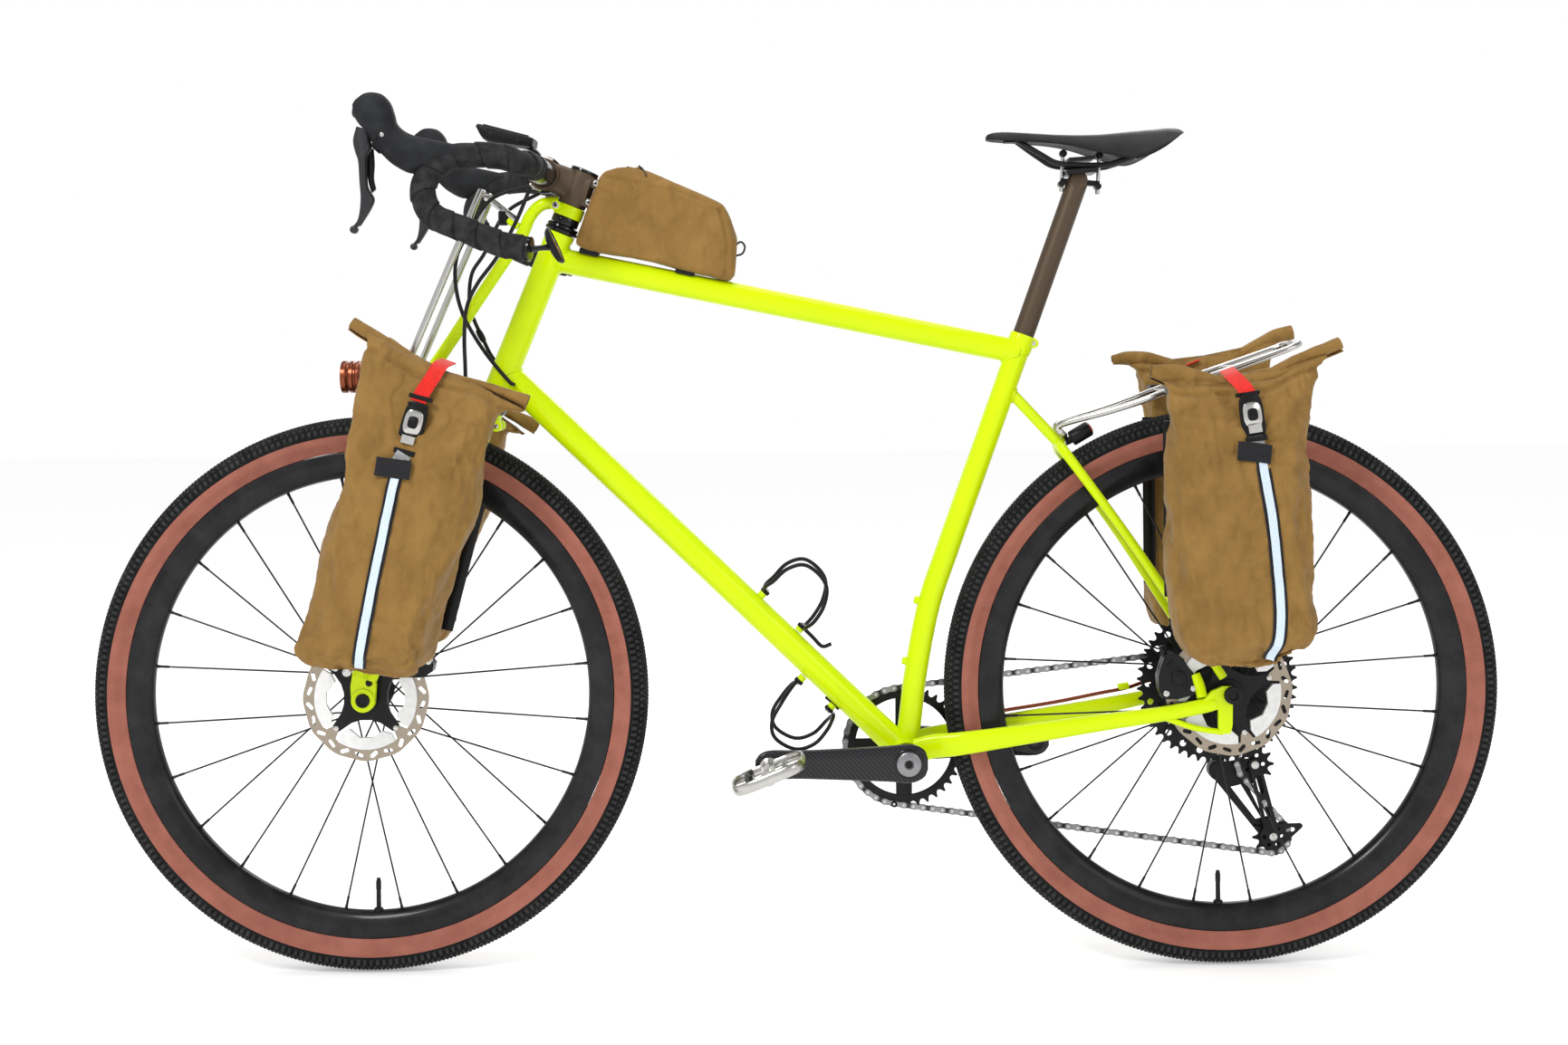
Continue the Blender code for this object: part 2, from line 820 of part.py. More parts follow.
def bags(steering, frame):
    for name, side in (("front_pannier_left", -1), ("front_pannier_right", 1)):
        near, far = side * FRONT_BAG_IN_Y, side * (FRONT_BAG_IN_Y + FRONT_BAG_DEPTH)
        bag = node(name, bag_shape(FRONT_BAG, near, far), "olive_fabric", steering)
        unite(bag, hook(-532, 590, side, RACK_LEG_Y + FRONT_RACK_R, FRONT_BAG_IN_Y))
    for name, side in (("rear_pannier_left", -1), ("rear_pannier_right", 1)):
        near, far = side * REAR_BAG_IN_Y, side * (REAR_BAG_IN_Y + REAR_BAG_DEPTH)
        bag = node(name, bag_shape(REAR_BAG, near, far), "olive_fabric", frame)
        hooks = [hook(x, z, side, RAIL_Y + REAR_RACK_R, REAR_BAG_IN_Y) for x, z in ((475, 737), (590, 774))]
        unite(bag, joined(hooks))
    bag = node("top_tube_bag", bag_shape(TOP_BAG, -0.0275, 0.0275), "olive_fabric", frame)
    unite(bag, joined([block(mm(p)[0], (0.014, 0.014, 0.024)) for p in ((-245, 916), (-135, 893))]))
    line = mm((-300, 911.8), (284, 789.5))
    cut(bag, rod(*line, TOP_TUBE_R + GAP, 16))


def rear_rack_path():
    half = mm(
        (347.1, 680.6, 7),
        (337, 690, 9),
        (350, 697, 14),
        (400, 711, 30),
        (443, 725, 42),
        (475, 737, 1000 * RAIL_Y),
        (600, 779, 1000 * RAIL_Y),
        (634, 791, 42),
        (645, 795, 20),
    )
    return [*reversed(mirrored(half)), *half]


def rear_rack(place):
    rack = node("rear_rack", sweep(rear_rack_path(), REAR_RACK_R, 8), "polished", place)
    cross = rod(mm((475, 737, -45))[0], mm((475, 737, 45))[0], 0.003, 8)
    unite(rack, cross)


def taillight(place):
    start, end = mm((357, 675), (381, 689))
    lamp = node("taillight", rod(start, end, 0.010, 16), "black_gloss", place)
    unite(lamp, sweep(mm((349.5, 671.5), (352, 673), (360, 677)), 0.005, 8))
    cut(lamp, rod(mm((340, 669, -12))[0], mm((340, 669, 12))[0], 0.0073, 12))


def cage_wire(half):
    """Closed wire loop from half of its points, mirrored across the middle."""
    ring = [*half, *reversed(mirrored([p for p in half if abs(p.y) > 1e-6]))]
    return sweep(ring, 0.0025, 4, X_AXIS, closed=True)


def bottle_cages(place):
    upper = mm(
        (-40, 482, 0),
        (-38, 490, 14),
        (-28, 498, 27),
        (-11, 514, 36),
        (11, 520, 38),
        (30, 508, 38),
        (40, 490, 38),
        (36, 467, 38),
        (24, 447, 32),
        (13, 437, 16),
        (10, 434, 0),
    )
    bracket = block(mm((-16, 460))[0], (0.072, 0.012, 0.0035), math.radians(44))
    feet = [rod(*mm(a, b), 0.005, 10) for a, b in (((-45.3, 475.9), (-40, 481)), ((3, 431), (7, 435.3)))]
    cage = node("bottle_cage_upper", cage_wire(upper), "black_satin", place)
    unite(cage, bracket, joined(feet), sweep(mm((8, 437), (22, 423), (34, 411), (46, 414)), 0.0025, 6))
    lower = mm(
        (2, 367, 0),
        (-6, 360, 14),
        (-18, 344, 27),
        (-31, 321, 36),
        (-27, 300, 38),
        (-2, 286, 38),
        (22, 292, 38),
        (38, 308, 34),
        (46, 319, 16),
        (48, 323, 0),
    )
    bracket = block(mm((26, 346))[0], (0.066, 0.012, 0.0035), math.radians(44))
    feet = [rod(*mm(a, b), 0.005, 10) for a, b in (((10, 373.0), (5, 367.8)), ((48, 336.2), (43.5, 331.5)))]
    cage = node("bottle_cage_lower", cage_wire(lower), "black_satin", place)
    unite(cage, bracket, joined(feet))
    down_line = mm((-371, 767), (134, 278.8))
    cut(cage, rod(*down_line, DOWN_TUBE_R + GAP, 16))
    cut(bpy.data.objects["bottle_cage_upper"], rod(*down_line, DOWN_TUBE_R + GAP, 16))


# Seat


def rail_path():
    half = mm(
        (446, 1040, 36),
        (418, 1030, 26),
        (397, 1026, 22),
        (344, 1028, 22),
        (320, 1040, 18),
        (290, 1060, 8),
        (283, 1063, 3),
    )
    return [*half, *reversed(mirrored(half))]


def rails_shape(extra):
    return sweep(rail_path(), 0.0035 + extra, 8)


def saddle_ring(x, wide, top, bottom):
    """Section across the saddle, in millimetres."""
    middle = (top + bottom) / 2
    points = [
        (0, top),
        (0.55 * wide, top - 1),
        (0.9 * wide, top - 5),
        (wide, middle - 2),
        (0.85 * wide, bottom),
        (0, bottom + 1),
    ]
    ring = [Vector((x, y, z)) / 1000 for y, z in points]
    back = [Vector((x, -y, z)) / 1000 for y, z in reversed(points[1:-1])]
    return ring + back


def seat(place):
    post_line = mm((256, 698), (367.5, 1004))
    base, head = post_line
    post = node("seatpost", rod(base, head, SEATPOST_R, 16), "bronze", place)
    cradle = block(mm((371, 1018))[0], (0.050, 0.062, 0.036), math.radians(-5))
    bolts = joined([rod(*mm((344, 1004), (344, 1040)), 0.0035, 10), rod(*mm((398, 1002), (398, 1038)), 0.0035, 10)])
    arms = block(mm((371, 1010))[0], (0.062, 0.014, 0.010), math.radians(-3))
    unite(post, cradle, arms, bolts)
    cut(post, rails_shape(GAP))
    node("saddle_rails", rails_shape(0.0), "black_satin", place)
    sections = (
        (252, 9, 1066, 1057),
        (262, 18, 1070, 1052),
        (290, 21, 1073, 1053),
        (345, 26, 1069, 1055),
        (400, 46, 1069, 1053),
        (440, 64, 1071, 1052),
        (478, 70, 1075, 1054),
        (498, 62, 1072, 1058),
        (506, 46, 1069, 1062),
    )
    shell = node("saddle", loft([saddle_ring(*s) for s in sections]), "black_gloss", place)
    sockets = [block(mm((439, 1045, side * 34))[0], (0.024, 0.012, 0.020)) for side in (-1, 1)]
    unite(shell, joined(sockets))
    cut(shell, rails_shape(GAP))


# Wheels


def wheel_ring(centre, profile, segments):
    return ring_shape(centre, Y_AXIS, profile, segments, math.pi / 2)


def tyre(name, centre, place):
    tread = TYRE_R
    shoulder = TYRE_R - 0.23 * TYRE_HEIGHT
    widest = TYRE_R - 0.565 * TYRE_HEIGHT
    bead = RIM_R - RIM_BED_DEPTH + 2 * GAP
    outer = [
        (tread, 0.355 * TYRE_HALF),
        (shoulder, 0.89 * TYRE_HALF),
        (widest, TYRE_HALF),
        (RIM_R + GAP, TYRE_BEAD),
        (bead, TYRE_BEAD),
    ]
    inner = [
        (bead, TYRE_BEAD - 0.004),
        (widest - 0.1 * TYRE_HEIGHT, TYRE_HALF - TYRE_WALL),
        (tread - 0.008, 0.31 * TYRE_HALF),
    ]
    half_profile = outer + inner
    profile = half_profile + [(rr, -yy) for rr, yy in reversed(half_profile)]
    node(name, wheel_ring(centre, profile, WHEEL_SIDES), "black_rubber", place)


def rim(name, centre, place):
    lip = TYRE_BEAD + GAP
    half = [(RIM_R, RIM_HALF), (RIM_R, lip), (RIM_R - RIM_BED_DEPTH, lip)]
    wall = [(RIM_R - 0.55 * RIM_DEPTH, RIM_HALF - 0.0008), (RIM_INNER_R, 0.3 * RIM_HALF)]
    profile = [*reversed(wall), *half] + [(r, -y) for r, y in reversed([*reversed(wall), *half])]
    node(name, wheel_ring(centre, profile, WHEEL_SIDES), "black_gloss", place)


def spoke_set(centre, left_flange, right_flange):
    """Spokes laced tangentially, leading and trailing in turn on each flange."""
    made = []
    for k in range(SPOKES):
        left = k % 2 == 0
        flange_y, flange_r = left_flange if left else right_flange
        leading = (k // 2) % 2 == 0
        rim_angle = 2 * math.pi * (k + 0.5) / SPOKES
        swing = math.radians(62) * (1 if leading else -1)
        hub_angle = rim_angle + swing
        hub_y = flange_y + (0.0015 if leading else -0.0015)
        start = centre + Vector((flange_r * math.cos(hub_angle), hub_y, flange_r * math.sin(hub_angle)))
        rim_y = -0.002 if left else 0.002
        reach = RIM_INNER_R - 0.0011
        end = centre + Vector((reach * math.cos(rim_angle), rim_y, reach * math.sin(rim_angle)))
        made.append(rod(start, end, SPOKE_R, 4))
    return joined(made)


def hub(name, centre, outer, left_flange, right_flange, place):
    half_length = outer[-1][1]
    profile = [(AXLE_BORE_R + 0.0001, half_length), (AXLE_BORE_R + 0.0001, -half_length)]
    shell = ring_shape(centre, Y_AXIS, outer + profile, 12)
    body = node(name, shell, "black_satin", place)
    unite(body, spoke_set(centre, left_flange, right_flange))


def front_hub(place):
    outer = [
        (0.0095, -0.050),
        (0.0095, -0.0435),
        (0.0165, -0.0435),
        (0.0165, -0.034),
        (0.021, -0.031),
        (0.0235, -0.0275),
        (0.0235, -0.0225),
        (0.0150, -0.018),
        (0.0150, 0.020),
        (0.0235, 0.0245),
        (0.0235, 0.0295),
        (0.0120, 0.033),
        (0.0095, 0.050),
    ]
    hub("front_hub", FRONT_AXLE, outer, (-0.025, 0.021), (0.027, 0.021), place)


def rear_hub(place):
    outer = [
        (0.0100, -0.0710),
        (0.0100, -0.0600),
        (0.0165, -0.0600),
        (0.0165, -0.0500),
        (0.0200, -0.0490),
        (0.0280, -0.0325),
        (0.0280, -0.0275),
        (0.0170, -0.0230),
        (0.0180, 0.0060),
        (0.0270, 0.0095),
        (0.0270, 0.0145),
        (FREEHUB_R, 0.0160),
        (FREEHUB_R, 0.0600),
        (0.0100, 0.0600),
        (0.0100, 0.0710),
    ]
    hub("rear_hub", REAR_AXLE, outer, (-0.030, 0.0255), (0.012, 0.0245), place)


def rotor(name, centre, y, first_arm, place):
    """Wavy braking band on a four-armed carrier, the windows between the arms open."""
    cx, cz = centre.x, centre.z
    outline = []
    for k in range(24):
        radius = ROTOR_R - (0.0012 if k % 2 else 0.0)
        angle = 2 * math.pi * k / 24
        outline.append((cx + radius * math.cos(angle), cz + radius * math.sin(angle)))
    loops = [outline, circle(cx, cz, 0.0172, 12)]
    spread = math.pi / ROTOR_ARMS
    for k in range(ROTOR_ARMS):
        mid = first_arm + (2 * k + 1) * spread
        outer = arc(cx, cz, ROTOR_R - ROTOR_BAND, mid - 0.86 * spread, mid + 0.86 * spread, 6)
        inner = arc(cx, cz, ROTOR_CORE_R, mid + 0.58 * spread, mid - 0.58 * spread, 4)
        loops.append(outer + inner)
    node(name, plate(loops, y - ROTOR_HALF, y + ROTOR_HALF), "steel", place)


def wheels(front, rear):
    for prefix, centre, place in (("front", FRONT_AXLE, front), ("rear", REAR_AXLE, rear)):
        tyre(prefix + "_tyre", centre, place)
        rim(prefix + "_rim", centre, place)
    front_hub(front)
    rear_hub(rear)
    rotor("front_rotor", FRONT_AXLE, FRONT_ROTOR_Y, math.radians(45), front)
    rotor("rear_rotor", REAR_AXLE, REAR_ROTOR_Y, math.radians(20), rear)


def axles(steering, frame):
    bolt = rod(FRONT_AXLE - Y_AXIS * 0.0640, FRONT_AXLE + Y_AXIS * 0.0600, AXLE_R, 16)
    axle = node("front_axle", bolt, "black_satin", steering)
    unite(axle, rod(FRONT_AXLE - Y_AXIS * 0.0645, FRONT_AXLE - Y_AXIS * 0.0603, 0.0085, 16))
    bolt = rod(REAR_AXLE - Y_AXIS * 0.0825, REAR_AXLE + Y_AXIS * 0.0780, AXLE_R, 16)
    axle = node("rear_axle", bolt, "black_satin", frame)
    unite(axle, rod(REAR_AXLE - Y_AXIS * 0.0830, REAR_AXLE - Y_AXIS * 0.0783, 0.011, 16))


def rotor_slot(centre):
    half = Y_AXIS * (ROTOR_HALF + ROTOR_SIDE_GAP)
    return rod(centre - half, centre + half, ROTOR_R + ROTOR_RIM_GAP, WHEEL_SIDES)


def piston_cap(point, low, high):
    at = mm(point)[0]
    return rod(at + Y_AXIS * low, at + Y_AXIS * high, PISTON_R, 12)


def calipers(steering, frame):
    front = pairs((-520, 398), (-503, 383), (-470, 384), (-457, 394), (-462, 409), (-490, 412), (-512, 408))
    body = node("front_caliper", plate([front], -0.0540, -0.0300), "black_satin", steering)
    unite(body, piston_cap((-489, 398), -0.0575, -0.0520))
    gap = rotor_slot(FRONT_AXLE + Y_AXIS * FRONT_ROTOR_Y)
    cut(body, gap)
    rear = pairs((455, 352), (500, 357), (508, 372), (490, 398), (470, 407), (453, 400), (449, 372))
    body = node("rear_caliper", plate([rear], -0.0690, -0.0440), "black_satin", frame)
    unite(body, piston_cap((477, 383), -0.0725, -0.0670))
    gap = rotor_slot(REAR_AXLE + Y_AXIS * REAR_ROTOR_Y)
    cut(body, gap)


# Drivetrain


def pitch_radius(teeth):
    return PITCH / (2 * math.sin(math.pi / teeth))


def toothed(cx, cz, teeth, phase, fine):
    """Tooth outline with roots under the chain rollers, the first root at the phase angle."""
    radius = pitch_radius(teeth)
    made = []
    for k in range(teeth):
        angle = phase + 2 * math.pi * k / teeth
        if fine:
            spots = ((-0.0024, -0.0043), (0.0024, -0.0043), (0.0055, 0.0014), (0.0072, 0.0014))
        else:
            spots = ((0.0, -0.0045), (0.00635, 0.0015))
        for along, rise in spots:
            spot = angle + along / radius
            r = radius + rise
            made.append((cx + r * math.cos(spot), cz + r * math.sin(spot)))
    return made


def belt_span(a, b):
    """Leaving and meeting points of a straight run from wheel a to wheel b, each (centre, radius, turn)."""
    (ca, ra, sa), (cb, rb, sb) = a, b
    across = Vector((cb.x - ca.x, cb.z - ca.z))
    offset = sb * rb - sa * ra
    length = math.sqrt(across.length_squared - offset * offset)
    heading = math.atan2(across.y, across.x) - math.atan2(offset, length)
    right = Vector((math.sin(heading), -math.cos(heading)))
    leave = Vector((ca.x, ca.z)) + right * (sa * ra)
    meet = Vector((cb.x, cb.z)) + right * (sb * rb)
    return leave, meet


def chain_wheels():
    """The wheels that the chain passes, in order: (centre, pitch radius, turn, teeth, y)."""
    return (
        (BB, pitch_radius(RING_TEETH), -1, RING_TEETH, RING_Y),
        (REAR_AXLE, pitch_radius(COGS[DRIVEN_COG]), -1, COGS[DRIVEN_COG], CHAIN_Y),
        (JOCKEY_UPPER, pitch_radius(JOCKEY_TEETH), 1, JOCKEY_TEETH, CHAIN_Y),
        (JOCKEY_LOWER, pitch_radius(JOCKEY_TEETH), -1, JOCKEY_TEETH, CHAIN_Y),
    )


def chain_wraps():
    """Angle of the first pin, step and pin count on each wheel."""
    line = chain_wheels()
    spans = [belt_span(line[i][:3], line[(i + 1) % 4][:3]) for i in range(4)]
    wraps = []
    for i, (centre, radius, turn, teeth, _) in enumerate(line):
        meet = spans[i - 1][1]
        leave = spans[i][0]
        first = math.atan2(meet.y - centre.z, meet.x - centre.x)
        last = math.atan2(leave.y - centre.z, leave.x - centre.x)
        swept = (turn * (last - first)) % (2 * math.pi)
        step = 2 * math.pi / teeth
        links = int(swept / step)
        start = first + turn * (swept - links * step) / 2
        wraps.append((start, turn * step, links))
    return wraps


def chain_pins():
    """Pins round the loop as (position, open link behind it)."""
    line = chain_wheels()
    wraps = chain_wraps()
    pins = []
    for i, (centre, radius, _, _, y) in enumerate(line):
        start, step, links = wraps[i]
        for k in range(links + 1):
            angle = start + step * k
            pins.append((Vector((centre.x + radius * math.cos(angle), y, centre.z + radius * math.sin(angle))), i))
        after_centre, after_radius, _, _, after_y = line[(i + 1) % 4]
        after_angle = wraps[(i + 1) % 4][0]
        target = Vector(
            (
                after_centre.x + after_radius * math.cos(after_angle),
                after_y,
                after_centre.z + after_radius * math.sin(after_angle),
            )
        )
        here = pins[-1][0]
        count = max(1, round((target - here).length / PITCH))
        for k in range(1, count):
            pin = here.lerp(target, k / count)
            pin.y = here.y + (target.y - here.y) * min(1, max(0, (k - 3) / max(1, count - 6)))
            pins.append((pin, -1))
    return pins


def chain_shape():
    """Roller chain as one closed loop: solid across each roller, two plates where teeth pass between."""
    pins = chain_pins()
    count = len(pins)
    reach = 3
    near = [any(pins[(i + d) % count][1] >= 0 for d in range(1 - reach, reach + 1)) for i in range(count)]
    wide, narrow, high, half = 0.0026, 0.0012, 0.0039, 0.0019
    points = []
    stations = []
    for i, (pin, _) in enumerate(pins):
        tangent = (pins[(i + 1) % count][0] - pins[i - 1][0]).normalized()
        up = Vector((-tangent.z, 0.0, tangent.x)).normalized()
        for end, is_open in ((-half, near[i - 1]), (half, near[i])):
            base = pin + tangent * end
            spread = (-wide, -narrow, narrow, wide) if is_open else (-wide, wide)
            top = []
            bottom = []
            for y in spread:
                top.append(len(points))
                points.append(base + Y_AXIS * y + up * high)
                bottom.append(len(points))
                points.append(base + Y_AXIS * y - up * high)
            stations.append((top, bottom))
    faces = []
    total = len(stations)
    for s in range(total):
        (top_a, bottom_a), (top_b, bottom_b) = stations[s], stations[(s + 1) % total]
        roller = s % 2 == 0
        if roller or len(top_a) == 2:
            faces.append((*top_a, *reversed(top_b)))
            faces.append((*bottom_b, *reversed(bottom_a)))
            faces.append((top_a[0], top_b[0], bottom_b[0], bottom_a[0]))
            faces.append((top_b[-1], top_a[-1], bottom_a[-1], bottom_b[-1]))
        else:
            faces.append((top_a[1], top_a[2], bottom_a[2], bottom_a[1]))
            faces.append((top_b[2], top_b[1], bottom_b[1], bottom_b[2]))
            for j in (0, 2):
                k = j + 1
                faces.append((top_a[j], top_a[k], top_b[k], top_b[j]))
                faces.append((bottom_b[j], bottom_b[k], bottom_a[k], bottom_a[j]))
                faces.append((top_a[j], top_b[j], bottom_b[j], bottom_a[j]))
                faces.append((top_b[k], top_a[k], bottom_a[k], bottom_b[k]))
    return outward(points, faces)


def chainring_shape():
    cx, cz = BB.x, BB.z
    phase = chain_wraps()[0][0]
    loops = [toothed(cx, cz, RING_TEETH, phase, True), circle(cx, cz, SPINDLE_R + 0.0004, 20)]
    for k in range(4):
        mid = math.radians(45 + 90 * k)
        outer = arc(cx, cz, 0.0635, mid - 0.62, mid + 0.62, 7)
        inner = arc(cx, cz, 0.0255, mid + 0.35, mid - 0.35, 3)
        loops.append(outer + inner)
    return plate(loops, RING_Y - 0.0009, RING_Y + 0.0009)


def crank_outline(direction):
    hub_r = 0.0245
    tip_r = 0.0185
    tip_x = BB.x + direction * CRANK_LENGTH
    side = math.acos((hub_r - tip_r) / CRANK_LENGTH)
    if direction > 0:
        tip = arc(tip_x, BB.z, tip_r, -side, side, 9)
        boss = arc(BB.x, BB.z, hub_r, side, 2 * math.pi - side, 13)
    else:
        tip = arc(tip_x, BB.z, tip_r, math.pi - side, math.pi + side, 9)
        boss = arc(BB.x, BB.z, hub_r, side - math.pi, math.pi - side, 13)
    return tip + boss


def cranks(place):
    tip_x = BB.x + CRANK_LENGTH
    loops = [crank_outline(1), circle(tip_x, BB.z, 0.0060, 12)]
    right = node("crank_right", plate(loops, 0.062, 0.077), "black_gloss", place)
    spindle = rod(BB - Y_AXIS * 0.0785, BB + Y_AXIS * 0.070, SPINDLE_R, 20)
    boss = rod(BB + Y_AXIS * 0.0493, BB + Y_AXIS * 0.063, 0.0195, 20)
    unite(right, spindle, boss)
    node("chainring", chainring_shape(), "black_satin", place)
    tip_x = BB.x - CRANK_LENGTH
    loops = [
        crank_outline(-1),
        circle(tip_x, BB.z, 0.0060, 12),
        circle(BB.x, BB.z, SPINDLE_R + 0.0004, 20),
    ]
    node("crank_left", plate(loops, -0.077, -0.062), "black_gloss", place)


def pedal(name, centre, side, place):
    axle = rod(centre + Y_AXIS * side * 0.0635, centre + Y_AXIS * side * 0.090, 0.0056, 12)
    outline = [(centre.x + a, side * b) for a, b in ((-0.030, 0.084), (0.030, 0.084), (0.046, 0.096), (0.046, 0.150), (0.036, 0.163), (-0.036, 0.163), (-0.046, 0.150), (-0.046, 0.096))]
    holes = []
    for s in (-1, 1):
        a, b = sorted((s * 0.013, s * 0.037))
        holes.append([(centre.x + x, side * y) for x, y in ((a, 0.0995), (b, 0.1005), (b, 0.1470), (a, 0.1480))])
    body = node(name, plate([outline, *holes], centre.z - 0.007, centre.z + 0.007, flat=True), "dark_steel", place)
    barrel = rod(centre + Y_AXIS * side * 0.0800, centre + Y_AXIS * side * 0.160, 0.0105, 12)
    unite(body, barrel, axle)


def cassette(place):
    cx, cz = AXLE_X, AXLE_Z
    shapes = []
    wrap = chain_wraps()[1]
    for k, teeth in enumerate(COGS):
        y = COG_FIRST_Y + k * COG_STEP
        engaged = k == DRIVEN_COG
        phase = wrap[0] if engaged else 0.0
        loops = [toothed(cx, cz, teeth, phase, engaged), circle(cx, cz, FREEHUB_R + 0.0012, 12)]
        shapes.append(plate(loops, y - COG_HALF, y + COG_HALF))
    carrier = [
        (FREEHUB_R + 0.0004, 0.0176),
        (0.0182, 0.0176),
        (0.0182, 0.0580),
        (FREEHUB_R + 0.0004, 0.0580),
    ]
    body = node("cassette", ring_shape(REAR_AXLE, Y_AXIS, carrier, 16), "steel", place)
    unite(body, joined(shapes))


def jockey(name, centre, wrap, place):
    loops = [
        toothed(centre.x, centre.z, JOCKEY_TEETH, wrap[0], True),
        circle(centre.x, centre.z, 0.0034, 10),
    ]
    wheel = node(name, plate(loops, CHAIN_Y - 0.0009, CHAIN_Y + 0.0009), "black_satin", place)
    hub_ring = pipe(centre + Y_AXIS * (CHAIN_Y - 0.0035), centre + Y_AXIS * (CHAIN_Y + 0.0035), 0.0075, 0.0034, 10)
    unite(wheel, hub_ring)


def hull_pairs(*discs):
    """Convex outline round discs given as (x, z, radius)."""
    cloud = []
    for x, z, r in discs:
        cloud.extend(Vector(p) for p in circle(x, z, r, 14))
    return [tuple(cloud[i]) for i in geometry.convex_hull_2d(cloud)]


def derailleur(place, cage_place):
    p, u, l = CAGE_PIVOT, JOCKEY_UPPER, JOCKEY_LOWER
    outer = plate([hull_pairs((p.x, p.z, 0.011), (u.x, u.z, 0.009), (l.x, l.z, 0.009))], CHAIN_Y + 0.0047, CHAIN_Y + 0.0065)
    inner = plate([hull_pairs((u.x, u.z, 0.010), (l.x, l.z, 0.010))], CHAIN_Y - 0.0065, CHAIN_Y - 0.0047)
    cage = node("derailleur_cage", outer, "black_satin", cage_place)
    pins = [rod(c + Y_AXIS * (CHAIN_Y - 0.0075), c + Y_AXIS * (CHAIN_Y + 0.0075), 0.0030, 10) for c in (u, l)]
    unite(cage, inner, joined(pins))

    knuckle = rod(p + Y_AXIS * (CHAIN_Y + 0.0070), p + Y_AXIS * 0.070, 0.0135, 16)
    body = node("derailleur_body", knuckle, "black_satin", place)
    upper = rod(mm((556, 322, 78.4))[0], mm((556, 322, 94))[0], 0.0115, 16)
    link = sweep(mm((555, 240, 62), (557, 262, 72), (558, 296, 86), (556, 318, 88)), (0.007, 0.009), 10)
    unite(body, upper, link)


def cables(steering, frame):
    housing = mm(
        (262, 317.2, 44),
        (278, 319.5, 45.5),
        (340, 328, 51),
        (400, 338.3, 57),
        (435, 343.8, 62),
        (470, 352, 73),
        (505, 350, 86),
        (540, 336, 94),
        (552, 334.9, 96),
    )
    cable = node("derailleur_cable", sweep(housing, 0.0025, 6), "copper_brown", frame)
    cut(cable, rod(mm((556, 322, 70))[0], mm((556, 322, 110))[0], 0.0118, 16))
    rear = mm(
        (-330, 1003, -62),
        (-380, 985, -60),
        (-418, 933, -39),
        (-428, 906, -36),
        (-427, 871, -36),
        (-417, 836, -33),
        (-393, 795, -32),
        (-364, 758, -27),
        (-354, 750, -17),
    )
    down_tube = rod(*mm((-371, 767), (134, 278.8)), DOWN_TUBE_R + GAP, 16)
    hose = node("rear_brake_hose", sweep(rear, 0.0025, 6), "black_satin", steering)
    cut(hose, down_tube)
    shift = mm(
        (-330, 1004, 62),
        (-376, 976, 52),
        (-402, 924, 42),
        (-418, 896, 34),
        (-421, 859, 30),
        (-416, 839, 29),
        (-402, 808, 28),
        (-389, 784, 28),
        (-364, 758, 26),
        (-354, 750, 17),
    )
    cable = node("shift_cable", sweep(shift, 0.0025, 6), "black_satin", steering)
    cut(cable, down_tube)
    front = mm(
        (-327, 1001, -75),
        (-345, 960, -70),
        (-371, 914, -64),
        (-397, 880, -60),
        (-411, 850, -58),
        (-414, 812, -60),
        (-414, 740, -61),
        (-430, 655, -62),
        (-462, 560, -62),
        (-480, 470, -60),
        (-484, 430, -50),
        (-486, 412.5, -46),
    )
    node("front_brake_hose", sweep(front, 0.0025, 6), "black_satin", steering)


def build():
    frame = pivot("frame", Vector((0.0, 0.0, 0.0)))
    steering = pivot("steering_axis", HEAD_TOP, HEAD_UP, frame)
    front = pivot("front_wheel_axis", FRONT_AXLE, Y_AXIS, steering)
    rear = pivot("rear_wheel_axis", REAR_AXLE, Y_AXIS, frame)
    crank = pivot("crank_axis", BB, Y_AXIS, frame)
    left_tip = BB - X_AXIS * CRANK_LENGTH
    right_tip = BB + X_AXIS * CRANK_LENGTH
    left_pedal = pivot("left_pedal_axis", left_tip, Y_AXIS, crank)
    right_pedal = pivot("right_pedal_axis", right_tip, Y_AXIS, crank)
    cage = pivot("cage_axis", CAGE_PIVOT + Y_AXIS * CHAIN_Y, Y_AXIS, frame)
    upper = pivot("upper_jockey_axis", JOCKEY_UPPER, Y_AXIS, cage)
    lower = pivot("lower_jockey_axis", JOCKEY_LOWER, Y_AXIS, cage)
    lever_pivot = mm((-497, 1052, 1000 * HOOD_Y))[0]
    left_lever = pivot("left_lever_axis", mirrored([lever_pivot])[0], Y_AXIS, steering)
    right_lever = pivot("right_lever_axis", lever_pivot, Y_AXIS, steering)
    mirror = pivot("mirror_axis", mm((-307.5, 914, -232))[0], Y_AXIS, steering)

    frame_tubes(frame)
    chainstay("chainstay_left", -1, frame)
    chainstay("chainstay_right", 1, frame)
    seatstays(frame)
    headset(frame)
    fork(steering)
    fork_strut(steering)
    stem(steering)
    handlebar(steering)
    hood("hood_left", -1, steering)
    hood("hood_right", 1, steering)
    brake_lever("brake_lever_left", -1, left_lever)
    brake_lever("brake_lever_right", 1, right_lever)
    bike_computer(steering)
    mirror_shape(mirror)
    front_rack(steering)
    headlamp(steering)
    bags(steering, frame)
    rear_rack(frame)
    taillight(frame)
    bottle_cages(frame)
    seat(frame)
    wheels(front, rear)
    axles(steering, frame)
    calipers(steering, frame)
    cranks(crank)
    pedal("pedal_left", left_tip, -1, left_pedal)
    pedal("pedal_right", right_tip, 1, right_pedal)
    cassette(rear)
    node("chain", chain_shape(), "dark_steel", frame)
    wraps = chain_wraps()
    jockey("jockey_upper", JOCKEY_UPPER, wraps[2], upper)
    jockey("jockey_lower", JOCKEY_LOWER, wraps[3], lower)
    derailleur(frame, cage)
    cables(steering, frame)


clear_scene()
MATERIALS = make_materials()
build()
